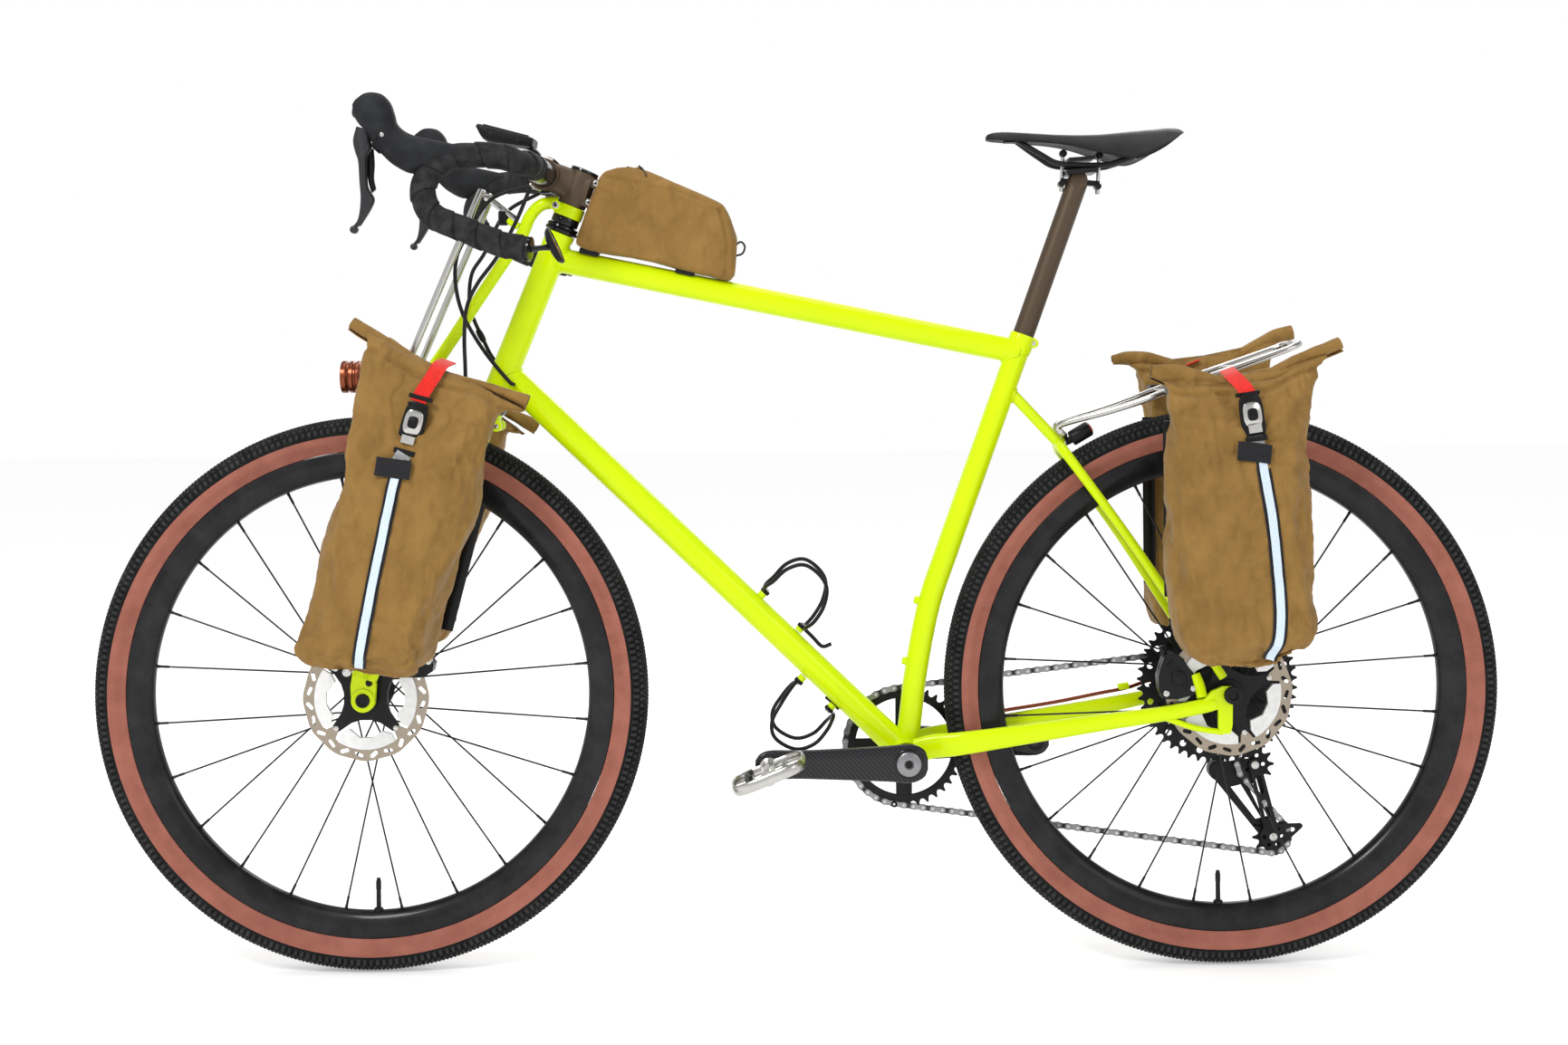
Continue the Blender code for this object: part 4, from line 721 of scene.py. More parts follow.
def strut_path():
    return mm(
        (-299, 986.5), (-322, 983), (-337, 968), (-348, 944), (-370, 912), (-407, 858), (-437, 813),
        (-460, 780), (-472, 764),
    )


def fork_outline():
    tip = arc(-0.546, 0.356, 0.0152, radians(-165), radians(-15), 12)
    return [(-0.5585, 0.393), (-0.5615, 0.374), *tip, (-0.5295, 0.374), (-0.5315, 0.3935), (-0.545, 0.3985)]


def legs(half, sizes):
    """Both blades of a fork and the bend between them, from one blade's line and radii."""
    return tube(both_sides(half), [*reversed(sizes[1:]), *sizes], 8, 28, X)


def fork():
    half = mm(
        (-397, 706, 0), (-399, 701, 20), (-404, 688, 37), (-418, 655, 45), (-478, 516, 50), (-537, 381, 55),
    )
    sizes = [0.0112, 0.0108, 0.0098, 0.0092, 0.0086, 0.0078]
    crown = pairs((16.5, 0), (17.8, 1), (18, 6), (18, 17.5))
    steerer = on_head_axis(-HEAD_LENGTH - 0.01), on_head_axis(0.083)
    parts = [
        (legs(half, sizes), LIME),
        (spun(on_head_axis(-HEAD_LENGTH - 0.028), HEAD_UP, crown, 40), LIME),
        (rod(*steerer, 0.0142, 40), BLACK),
    ]
    dropout = [fork_outline(), circle(-AXLE_X, AXLE_Z, 0.0063)]
    lip = pairs((8.8, 0), (15, 0), (14.6, 2.2), (9.2, 2.2))
    for side in (-1, 1):
        lug = pt(-380.5, 699, side * 16)
        parts += [
            (plate(dropout, *sorted((side * 0.0503, side * 0.06))), LIME),
            (turned(FRONT_AXLE + Y * side * 0.0598, Y * side, lip, 40), LIME),
            (barrel(pt(-538, 378), side * 58.5, side * 61.9, 4.2, 24, 0.6), BLACK),
            (barrel(lug, -6, 6, 7.2, 24, 1), LIME),
            (barrel(lug, -7.2, 7.2, 3.6, 6, 0.5), BOLT),
            (block(lug - X * 0.012, (0.022, 0.01, 0.01)), LIME),
        ]
    skin("fork", parts, "steering", 50)


def fork_strut():
    half = mm(
        (-472, 766, 0), (-474, 762, 20), (-480, 745, 36), (-490, 700, 43), (-515, 570, 51),
        (-551, 385, 55.3),
    )
    collar = pairs((14.8, 22.5), (18.2, 22.5), (19, 23.5), (19, 37), (18.2, 37.9), (14.8, 37.9))
    spacer = pairs((14.8, 12.2), (17.2, 12.2), (17.8, 13.5), (17.8, 21.8), (17.2, 22.4), (14.8, 22.4))
    ear = pt(-302.4, 981.2)
    parts = [
        (legs(half, [0.009] * 5 + [0.0085]), LIME),
        (tube(strut_path(), 0.008, 6, 24), LIME),
        (turned(HEAD_TOP, HEAD_UP, collar, 48), LIME),
        (barrel(ear, -19, -6, 6.8, 24, 0.8), LIME),
        (barrel(ear, -20, -12, 4.5, 24, 0.6), BOLT),
        # Black hexagon on the bolt's head: painted shade of its socket.
        (barrel(ear, -20.3, -12, 2.2, 6), BLACK),
        (turned(HEAD_TOP, HEAD_UP, spacer, 48), "gloss_black"),
        (rod(*mm((-352, 955), (-366, 964)), 0.0048, 20, 0.0006), LIME),
    ]
    skin("fork_strut", parts, "steering", 50)


def headset():
    upper = pairs(
        (14.9, 0.4), (19, 0.4), (21.4, 2.2), (21.4, 5.2), (19.6, 6.2), (20.6, 7.6), (20, 10.4), (17.8, 11.7),
        (14.9, 11.7),
    )
    make(
        "headset_upper_skin", [(turned(HEAD_TOP, HEAD_UP, upper, 56), "gloss_black")], "frame",
        ["headset_upper_cup"],
    )
    lower = pairs((14.9, -0.4), (19, -0.4), (21.2, -2), (21.2, -6), (19, -9.8), (14.9, -9.8))
    make(
        "headset_lower_skin", [(turned(HEAD_BOTTOM, HEAD_UP, lower, 56), "gloss_black")], "frame",
        ["headset_lower_cup"],
    )


# Wheels


def tyre(prefix, centre, body):
    """Casing with tan walls, and rows of small tread knobs round its crown; the casing's rubber is darker
    than the knobs' as painted shade between them.
    """
    mid, wide, tall = 0.333, 0.0222, 0.0216
    half = []
    for k in range(0, 25):
        phi = radians(4.5 * k)
        half.append((mid + tall * cos(phi) - (0.0012 if k > 19 else 0.0), wide * sin(phi)))
    half += pairs((320.5, 17.8), (316.5, 16.2), (313, 14.6), (313, 10))
    half += pairs((320, 12), (333, 19), (348.5, 11), (353, 0))
    profile = half + [(r, -y) for r, y in reversed(half[1:-1])]
    rings = turned(centre, Y, profile, 180)
    tan, black = [], []
    for face in rings[1]:
        spot = rings[0][face[0]]
        radius = hypot(spot.x - centre.x, spot.z - centre.z)
        second = rings[0][face[2]]
        radius = min(radius, hypot(second.x - centre.x, second.z - centre.z))
        wall = radius < 0.3322 and abs(spot.y) > 0.0135
        (tan if wall else black).append(face)
    # Casing rubber darker than the knobs: painted shade between them.
    casing = [((rings[0], tan), "tan_sidewall"), ((rings[0], black), "tread_rubber_painted_shade")]
    make(prefix + "_tyre_casing", casing, body, [prefix + "_tyre"])
    rows = [(0, 0.0025, 0.003, 0.0014, 0.0052, 0)]
    for sign in (-1, 1):
        for n, degrees in enumerate((11.5, 22.5, 33.5)):
            rows.append((sign * degrees, 0.0026, 0.0031, 0.0014, 0.0052, (n + 1) % 2))
        rows.append((sign * 47.0, 0.0046, 0.0046, 0.0024, 0.0082, 0))
        rows.append((sign * 67.0, 0.005, 0.0078, 0.0026, 0.0082, 1))
    shapes = []
    for degrees, along, across, height, pitch, shifted in rows:
        phi = radians(degrees)
        radius = mid + tall * cos(phi)
        out_r, out_y = cos(phi), sin(phi)
        normal = Vector((out_r / tall, out_y / wide)).normalized()
        count = round(tau * radius / pitch)
        for k in range(count):
            turn = tau * (k + 0.5 * shifted) / count
            shapes.append(knob(centre, turn, radius, wide * out_y, normal, along, across, height))
    make(
        prefix + "_tread_knobs", [(joined(shapes), "knob_rubber")], body, [prefix + "_tyre"],
        30,
    )


def knob(centre, turn, radius, y, normal, along, across, height):
    """Small tapered block standing on the casing, no further out than the tyre's radius."""
    out = Vector((cos(turn), 0.0, sin(turn)))
    forward = Vector((-sin(turn), 0.0, cos(turn)))
    up = out * normal.x + Y * normal.y
    base = centre + out * radius + Y * y
    rings = []
    for lift, share in ((-0.0006, 1.0), (height, 0.74)):
        a, b = forward * (0.5 * along * share), forward.cross(up) * (0.5 * across * share)
        rings.append([base + up * lift + corner for corner in (-a - b, a - b, a + b, b - a)])
    return loft(rings)


def rim(prefix, centre, body):
    half = pairs((308, 12.6), (311.6, 12.6), (312.5, 13.6), (312.3, 15), (311, 15.7))
    half += pairs((305, 16), (298, 15.5), (290, 13.2), (284, 9.8), (280.3, 5.6), (279, 0))
    smooth = spline(half[2:], 3)
    side = [(0.308, 0.0), half[0], half[1], *smooth]
    profile = side + [(r, -y) for r, y in reversed(side[1:-1])]
    parts = [(turned(centre, Y, profile, 180), "carbon_rim")]
    valve = centre + Vector((0.006 if centre.x < 0 else -0.005, 0, -RIM_INNER_R))
    stem = pairs((6, -2), (6, 2), (3.2, 3.5), (3, 26), (3.4, 26.5), (3.4, 36), (2.2, 41))
    parts.append((spun(valve, Z, stem, 20), BLACK))
    skin(prefix + "_rim", parts, body)


def spokes(centre, left_flange, right_flange):
    nipple = pairs((2.1, 0), (2.1, 3), (1.7, 5), (1.7, 15), (1.2, 16.5))
    made = []
    for k in range(SPOKES):
        left, leading = k % 2 == 0, (k // 2) % 2 == 0
        flange_y, flange_r = left_flange if left else right_flange
        rim_angle = tau * (k + 0.5) / SPOKES
        hub_x, hub_z = polar(centre, flange_r, rim_angle + radians(62 if leading else -62))
        rim_x, rim_z = polar(centre, RIM_INNER_R + 0.001, rim_angle)
        start = Vector((hub_x, flange_y + (0.0015 if leading else -0.0015), hub_z))
        end = Vector((rim_x, -0.002 if left else 0.002, rim_z))
        made += [
            (rod(start, end, 0.00115, 8), "spoke_black"),
            (spun(end, start - end, nipple, 8), BLACK),
            (barrel(start, -2.2, 2.2, 1.7, 8), "spoke_black"),
        ]
    return made


def hub(prefix, centre, outer, left_flange, right_flange, body):
    half_length = outer[-1][1]
    profile = outer + [(0.0066, half_length), (0.0066, -half_length)]
    parts = [(turned(centre, Y, profile, 56), BLACK)]
    parts += spokes(centre, left_flange, right_flange)
    skin(prefix + "_hub", parts, body, 30)


def hubs():
    outer = pairs(
        (9.5, -50), (9.5, -43.5), (16.5, -43.5), (16.5, -34), (21, -31), (23.5, -27.5), (23.5, -22.5),
        (16.5, -19), (14.2, -12), (13.8, 0), (14.2, 14), (16.5, 21), (23.5, 24.5), (23.5, 29.5), (12, 33),
        (9.5, 50),
    )
    hub("front", FRONT_AXLE, outer, (-0.025, 0.021), (0.027, 0.021), "front_wheel")
    outer = pairs(
        (10, -71), (10, -60), (16.5, -60), (16.5, -50), (20, -49), (28, -32.5), (28, -27.5), (19, -23.5),
        (16.5, -16), (17, 2), (19, 6.5), (27, 9.5), (27, 14.5), (16, 16), (16, 60), (10, 60), (10, 71),
    )
    hub("rear", REAR_AXLE, outer, (-0.03, 0.0255), (0.012, 0.0245), "rear_wheel")


def around(centre, shape, turn):
    """Flat (radius, angle) points as (x, z) pairs round a centre."""
    return [polar(centre, r, turn + a) for r, a in shape]


def rotor(prefix, centre, y, start, body):
    """Braking ring with its cut-outs, white cooling fins and a black four-armed carrier."""
    edge = [(ROTOR_R - 0.0007 - 0.0007 * cos(12 * a), a) for a in turns(144)]
    inner = [(0.0655 - 0.0135 * min(1.0, max(0.0, cos(4 * a) - 0.86) / 0.1), a) for a in turns(96)]
    loops = [around(centre, edge, start), around(centre, inner, start)]
    for k in range(24):
        at = start + tau * (k + 0.5) / 24
        wide, lean = (0.0052, 0.62) if k % 2 else (0.0044, -0.3)
        loops.append(slot_loop(*polar(centre, 0.0722, at), 0.0118, wide, at + pi / 2 + lean))
    arm = ((0.0545, -0.1), (0.0545, 0.1), (0.036, 0.26), (0.0285, 0.55), (0.0285, 1.02), (0.036, 1.31))
    arms = [(r, a + pi / 2 * k) for k in range(4) for r, a in arm]
    carrier = [around(centre, arms, start), circle(centre.x, centre.z, 0.0172, 40)]
    parts = [
        (plate(loops, y - 0.0009, y + 0.0009), "brushed_steel"),
        (plate(carrier, y - 0.0024, y + 0.0016), BLACK),
    ]
    back = ((0.056, 0.62), (0.047, 0.46), (0.0505, 0.16), (0.0505, -0.16), (0.044, -0.5), (0.0545, -0.62))
    for k in range(4):
        arm_turn = start + pi / 2 * k
        mid = start + pi / 4 + pi / 2 * k
        fin = arc(centre.x, centre.z, 0.0652, mid - 0.6, mid + 0.6, 14) + around(centre, back, mid)
        x, z = polar(centre, 0.0535, arm_turn)
        parts.append((plate([fin], y - 0.0034, y + 0.003), "fin_white"))
        parts.append((barrel(Vector((x, y, z)), -3.6, 2.4, 3.4, 20, 0.5), BOLT))
    ring = pairs((9.5, -4.4), (16.6, -4.4), (17.2, -3), (17.2, 0), (9.5, 0))
    if prefix == "rear":
        ring = pairs((10.5, -2.6), (16.6, -2.6), (17.2, -2), (17.2, 0), (10.5, 0))
    parts.append((turned(centre + Y * y, Y, ring, 40), BLACK))
    skin(prefix + "_rotor", parts, body, 30, 0.0004)


def axles():
    front = pairs((8.5, 0), (8.5, 3.6), (7.8, 4.4), (5.2, 4.4), (4.6, 2.4), (1, 2.4))
    rear = pairs((11.2, 0), (11.2, 3.4), (10.4, 4.6), (6, 4.6), (5, 2.6), (1, 2.6))
    for name, body, centre, low, high, cap_y, cap in (
        ("front_axle", "steering", FRONT_AXLE, -63.6, 60, 0.0603, front),
        ("rear_axle", "frame", REAR_AXLE, -78.2, 78, 0.0783, rear),
    ):
        parts = [
            (barrel(centre, low, high, 6, 24), BLACK),
            (spun(centre - Y * cap_y, -Y, cap, 32), BLACK),
        ]
        skin(name, parts, body)


def wheels():
    tyre("front", FRONT_AXLE, "front_wheel")
    tyre("rear", REAR_AXLE, "rear_wheel")
    rim("front", FRONT_AXLE, "front_wheel")
    rim("rear", REAR_AXLE, "rear_wheel")
    hubs()
    rotor("front", FRONT_AXLE, -0.0395, radians(45), "front_wheel")
    rotor("rear", REAR_AXLE, -0.0557, radians(20), "rear_wheel")
    axles()


# Cockpit


def bar_half():
    return mm(
        (-317, 1021, 0), (-317, 1021, 22), (-317, 1021, 48), (-317, 1021, 62), (-317, 1021, 150),
        (-319, 1020, 172), (-329, 1021, 188), (-348, 1027, 195), (-376, 1029, 198), (-405, 1026, 200),
        (-424, 1016, 202), (-436, 1000, 204), (-439, 984, 206), (-434, 966, 209), (-420, 952, 213),
        (-398, 943, 217), (-370, 931, 222), (-340, 920, 227), (-309, 914, 232),
    )


def resampled(path, step):
    made = [path[0]]
    left = step
    for a, b in zip(path, path[1:]):
        length = (b - a).length
        at = left
        while at <= length:
            made.append(a.lerp(b, at / length))
            at += step
        left = at - length
    return made


def taped(side):
    """Bar tape wound in overlapping turns, from the flat of the bar to its end."""
    half = [*mm((-317, 1021, 112)), *bar_half()[4:]]
    path = resampled(spline(half if side > 0 else mirrored(half), 10), 0.0012)
    turn = 0.031

    def wrap(i, angle):
        phase = (i * 0.0012 / turn + side * angle / tau) % 1.0
        lip = 0.0017 * phase**0.7 - (0.0009 if phase < 0.05 else 0.0)
        worn = 0.0003 * noise.noise(path[min(i, len(path) - 1)] * 90)
        if i < 4 or i > len(path) - 5:
            lip = -0.0006
        return lip + worn

    return sweep(path, TAPE_R - 0.0011, 40, X, shape=wrap)


def handlebar():
    centre = bar_half()[0]
    band = pairs((13.6, 0), (16.1, 0), (16.3, 1), (16.3, 11), (16.1, 12), (13.6, 12))
    sleeve = pairs((15.9, 0), (15.9, 36), (14.5, 46), (13.8, 69))
    plugs = {
        1: pairs((14.8, -2), (15.2, 0.8), (14.4, 3), (10, 4.2), (3, 4.4)),
        -1: pairs((14.8, -2), (15, 0.6), (12, 1.2), (3, 1.2)),
    }
    parts = [(barrel(centre, -48, 48, 15.9, 48), "gloss_black")]
    for side in (-1, 1):
        end = bar_half()[-1]
        end.y *= side
        parts += [
            (spun(centre + Y * side * 0.047, Y * side, sleeve, 40), "gloss_black"),
            (taped(side), "bar_tape"),
            (turned(centre + Y * side * 0.106, Y * side, band, 40), PLASTIC),
            (spun(end, Vector((0.98, side * 0.16, -0.12)), plugs[side], 32), "gloss_black"),
        ]
    make("taped_handlebar", parts, "steering", ["handlebar"], 40)


def contour_shape(lower, upper, widths, steps=5, sides=28, y=0.0, powers=(0.8, 0.8), taper=0.0):
    """Solid between a lower and an upper side-view line, (x, z) in millimetres, of given half widths."""
    low, high = spline(mm(*lower), steps), spline(mm(*upper), steps)
    rings = []
    for a, b, w in zip(low, high, spline([float(w) for w in widths], steps)):
        middle, half = (a + b) / 2, (b - a) / 2
        ring = []
        for c, s in squared(sides, *powers):
            ring.append(middle + Y * (y + w / 1000 * c * (1.0 - taper * max(0.0, s))) + half * s)
        rings.append(ring)
    return loft(rings)


def hood(side):
    upper = (
        (-394, 1040), (-424, 1047), (-447.5, 1052), (-461, 1058), (-470, 1067), (-473, 1078),
        (-478, 1092), (-487, 1101.5), (-497.5, 1104.5), (-508, 1103.5), (-517, 1097.5),
    )
    lower = (
        (-400, 1026), (-432, 1014), (-452, 1007), (-473.7, 1017), (-488, 1030), (-499, 1043),
        (-507, 1058), (-514, 1065), (-519, 1072), (-522, 1080), (-523, 1088),
    )
    widths = (14.5, 17.5, 18.5, 18, 17, 16.5, 17, 17, 15.5, 13, 9)
    y = side * HOOD_Y
    at = 1000 * y
    button = pairs((8.5, -4), (7.8, 2.2), (5, 4.2), (1, 4.6))
    parts = [
        (contour_shape(lower, upper, widths, 6, 36, y), "hood_rubber"),
        (spun(pt(-519, 1082, at), Vector((-1, 0, 0.12)), button, 28), "gloss_black"),
        (barrel(pt(-485.6, 1052.5, at), -16.8, 16.8, 2.6, 16, 0.3), BOLT),
        (barrel(pt(-494.5, 1049.5, at), -16.8, 16.8, 2.6, 16, 0.3), BLACK),
        (tube(mm((-497, 1046, at), (-487, 1036, at)), [0.0075, 0.007], 4, 20), PLASTIC),
    ]
    skin("hood_" + hand(side), parts, "steering", 50)


def lever(side):
    left = (
        (-519, 1064), (-523, 1047.5), (-520.5, 1033.4), (-517, 1022), (-515.6, 998),
        (-514.4, 979.3), (-516, 962), (-519.5, 950), (-527.5, 941.8),
    )
    right = (
        (-503, 1060), (-502, 1050), (-501, 1038), (-505.3, 1028), (-506.1, 1014),
        (-505.6, 993), (-498, 979), (-501, 967), (-514, 946),
    )
    inner_left = ((-511, 1040), (-508, 1020), (-507, 1000), (-503, 985))
    inner_right = ((-500, 1038), (-499, 1020), (-500, 1003), (-497.5, 990))
    y = side * HOOD_Y
    parts = [
        (contour_shape(left, right, (6.5, 7, 7.5, 8, 8, 7.5, 7, 6.5, 5), 6, 24, y), "lever_grey"),
        (barrel(pt(-522.5, 941, 1000 * y), -5.2, 5.2, 4.7, 20, 1.2), "lever_grey"),
        (contour_shape(inner_left, inner_right, (4, 5, 5, 3.5), 5, 16, y - side * 0.0085), PLASTIC),
    ]
    skin("brake_lever_" + hand(side), parts, hand(side) + "_lever", 50)


def stem():
    bar = pt(-317, 1021)
    forward = (bar - on_head_axis(0.0627)).normalized()
    clamp = pairs(
        (
            14.9, 38.6,
        ), (17.6, 38.6), (18, 39.6), (18, 44), (18.6, 45), (19, 52), (19, 75), (18.4, 83.8), (14.9, 83.8),
    )
    lower = ((-331, 1006), (-322, 1002.5), (-308, 998), (-296, 991.7), (-282, 985.5), (-266, 983))
    upper = ((-329, 1037), (-318, 1039.5), (-300, 1035.5), (-281, 1028.8), (-266, 1023.5), (-254, 1018.5))
    arm = contour_shape(lower, upper, (20.5, 20.5, 18, 16.5, 17.5, 18.5), 6, 32, powers=(0.55, 0.55))
    grip = pairs((16.2, -21), (19.7, -21), (20.6, -19.5), (20.6, 19.5), (19.7, 21), (16.2, 21))
    cap = pairs((17.2, 84), (18.6, 84.6), (18, 87.6), (10, 88.8), (5, 88.8), (4.2, 87), (1, 87))
    parts = [
        (turned(HEAD_TOP, HEAD_UP, clamp, 56), "bronze_anodised"),
        (arm, "bronze_anodised"),
        (turned(bar, Y, grip, 56), "bronze_anodised"),
        (spun(HEAD_TOP, HEAD_UP, cap, 40), "gloss_black"),
    ]
    for at in mm((-250.6, 1008.7), (-260.4, 984.5)):
        lug = at + Vector((-0.005, 0, 0.001))
        parts += [
            (block(lug, (0.016, 0.03, 0.012), radians(22)), "bronze_anodised"),
            (barrel(at, -17.2, 17.2, 4, 20, 0.5), BOLT),
            # Black hexagon on each bolt's head: painted shade of its socket.
            (barrel(at, -17.6, -17, 1.8, 6), PLASTIC),
        ]
    for rise in (-1, 1):
        for y in (-0.014, 0.014):
            at = bar + forward.cross(Y) * rise * 0.0185 + Y * y
            parts.append((rod(at - forward * 0.004, at + forward * 0.0125, 0.0038, 16, 0.0005), BOLT))
    skin("stem", parts, "steering", 40, 0.0006)


def computer():
    turn = radians(15)
    lower = ((-403, 1082), (-391, 1064.4), (-362, 1059), (-334, 1055.3), (-330, 1060))
    upper = ((-403, 1084), (-398, 1086.3), (-365, 1077.3), (-332, 1068.3), (-329.5, 1064))
    shell = contour_shape(lower, upper, (21, 25, 25, 25, 22), 5, 36, powers=(0.36, 0.36))
    along = Matrix.Rotation(turn, 3, "Y")
    glass = block(pt(-364.5, 1077.4), (0.06, 0.043, 0.0016), turn)
    arm_line = mm((-323, 1040), (-328, 1050), (-340, 1057), (-356, 1062))
    arm = tube(arm_line, pairs((10, 5), (11, 3.6), (12, 3), (10, 3)), 6, 20)
    ring = pairs((20.7, -8), (23.6, -8), (23.6, 8), (20.7, 8))
    parts = [
        (shell, PLASTIC),
        (glass, "screen_glass"),
        (arm, PLASTIC),
        (turned(pt(-317, 1021, 0), Y, ring, 40), PLASTIC),
        (block(pt(-327, 1046), (0.008, 0.016, 0.0022), turn), BOLT),
    ]
    for x in (-0.018, 0.0, 0.018):
        key = pt(-366, 1068) + along @ Vector((x, -0.0246, 0.0))
        parts.append((barrel(key, 0, -1.2, 2.2, 16, 0.4), "gloss_black"))
    make("computer_skin", parts, "steering", ["bike_computer"], 35, 0.0006)


def bar_mirror():
    centre = pt(-282, 918, -224)
    face = Vector((0.911, 0.0, 0.412)).normalized()
    shell = pairs((1, -6.2), (11, -5.6), (19, -3.4), (22.6, 0), (23, 3), (22, 3.8), (21.5, 3))
    parts = [
        (spun(centre, face, shell, 48), PLASTIC),
        (spun(centre, face, pairs((21.4, 2.8), (15, 3.4), (1, 3.6)), 48), "mirror_face"),
    ]
    arm = tube(
        mm((-307.9, 914, -231.8), (-302, 915, -231.5), (-294, 916, -229.5), (-286, 917, -226)),
        [0.004, 0.0034, 0.0034, 0.0045], 6, 16,
    )
    parts.append((arm, "gloss_black"))
    make("bar_mirror_skin", parts, "bar_mirror", ["mirror"], 40)


# Racks and lamps


def front_rack():
    half = mm(
        (-394, 996, 34), (-395, 993, 45), (-400, 982, 48), (-482, 793, 48), (-505, 738, 54), (-525, 640, 61),
        (-551, 480, 61), (-562, 425, 59), (-566, 392, 57),
    )
    parts = []
    for leg in (half, mirrored(half)):
        parts.append((tube(leg, 0.0045, 6, 24, X), POLISHED))
        parts.append(
            (spun(leg[0], leg[0] - leg[1], pairs((4.5, 0), (4.5, 3), (3, 4.5), (1, 5)), 20), POLISHED),
        )
    parts += [
        (rod(*mm((-394, 996, -34), (-394, 996, 34)), 0.004, 20), POLISHED),
        (tube(mm((-394, 994), (-380, 984), (-356, 964)), 0.0046, 5, 20), POLISHED),
        (rod(*mm((-372, 957), (-372, 975)), 0.0062, 24, 0.001), PLASTIC),
        (rod(pt(-494, 764, -51), pt(-494, 764, 51), 0.004, 20), POLISHED),
    ]
    for side in (-1, 1):
        foot = pt(-566, 392, side * 57)
        parts.append((barrel(foot, -4, 4, 5.8, 20, 0.8), POLISHED))
    skin("front_rack", parts, "steering", 40)


def headlamp():
    start = pt(-580, 763.5)
    ribs = pairs((1, 1.2), (18.8, 0.8), (20.6, 0), (20.9, 2), (20.6, 6), (18.6, 7.8))
    ribs += pairs(
        (18.4, 9.2), (20.6, 10.8), (20.7, 15), (19, 16.6), (19, 18), (20.6, 19.6), (20.4, 22.5), (15, 26.2),
        (10, 26.8),
    )
    parts = [
        (spun(start, X, ribs, 56), "copper_anodised"),
        (spun(start, X, pairs((1, -0.6), (15, 0), (18.6, 1.4)), 48), "lamp_lens"),
    ]
    bracket = tube(mm((-556, 763), (-530, 765), (-497, 764)), [(0.006, 0.0025)] * 3, 6, 20)
    parts.append((bracket, BLACK))
    parts.append(
        (
            tube(mm((-556, 757, 6), (-540, 752, 8), (-515, 756, 7), (-500, 770, 5)), 0.0013, 6, 8),
            "hose_rubber",
        ),
    )
    skin("headlamp", parts, "steering", 40)


def rear_rack():
    half = mm(
        (347.1, 680.6, 7), (339, 690, 9), (350, 697, 14), (400, 711, 30), (443, 725, 42), (475, 737, 45),
        (600, 779, 45), (634, 791, 42), (644, 795, 32), (645, 795.5, 18),
    )
    path = [*reversed(mirrored(half)), *half]
    parts = [(tube(path, 0.0042, 6, 24), POLISHED)]
    for x, z, y in ((475, 737, 45), (560, 765.5, 45)):
        parts.append((rod(pt(x, z, -y), pt(x, z, y), 0.0032, 20), POLISHED))
    skin("rear_rack", parts, "frame", 40)


def taillight():
    start, end = mm((357, 675), (381, 689))
    parts = [(rod(start, end, 0.01, 32, 0.002), PLASTIC)]
    axis = (end - start).normalized()
    parts.append(
        (spun(end - axis * 0.0015, axis, pairs((8.8, 0), (8.6, 2), (6, 3.6), (1, 4)), 32), "red_lens"),
    )
    parts.append((tube(mm((350, 671.5), (354, 673), (361, 677)), 0.0048, 5, 16), PLASTIC))
    skin("taillight", parts, "frame", 40)


def cages():
    """Wire bottle cages: one bent loop each, clipped to two bosses on the down tube."""
    upper = mm(
        (-40, 482, 0), (-38, 490, 14), (-28, 498, 27), (-11, 514, 36), (11, 520, 38), (30, 508, 38),
        (40, 490, 38), (36, 467, 38), (24, 447, 32), (13, 437, 16), (10, 434, 0),
    )
    lower = mm(
        (2, 367, 0), (-6, 360, 14), (-18, 344, 27), (-31, 321, 36), (-27, 300, 38), (-2, 286, 38),
        (22, 292, 38), (38, 308, 34), (46, 319, 16), (48, 323, 0),
    )
    for name, half, feet, spur in (
        (
            "bottle_cage_upper", upper, (((-45.3, 475.9), (-40, 481)), ((3, 431), (7, 435.3))),
            ((8, 437), (22, 423), (34, 411), (46, 414)),
        ),
        (
            "bottle_cage_lower", lower, (((10, 373.0), (5, 367.8)), ((48, 336.2), (43.5, 331.5))),
            ((38, 346), (43, 342), (49, 336), (55, 330)),
        ),
    ):
        ring = [*half, *reversed(mirrored([p for p in half if abs(p.y) > 1e-6]))]
        path = spline([*ring, ring[0]], 5)[:-1]
        parts = [(sweep(path, 0.0025, 16, X, closed=True), BLACK)]
        for a, b in feet:
            low, high = mm(a, b)
            out = (high - low).normalized()
            parts += [
                (rod(low, high, 0.0052, 20, 0.0006), LIME),
                (rod(high - out * 0.0005, high + out * 0.0045, 0.0064, 20, 0.001), PLASTIC),
                (rod(high + out * 0.004, high + out * 0.0065, 0.0036, 6), BOLT),
            ]
        parts.append((tube(mm(*spur), 0.0025, 6, 16), BLACK))
        skin(name, parts, "frame", 40)


# Seat


def rail_path():
    half = mm(
        (446, 1040, 36), (418, 1030, 26), (397, 1026, 22), (344, 1028, 22), (320, 1040, 18), (290, 1060, 8),
        (283, 1063, 3),
    )
    return [*half, *reversed(mirrored(half))]


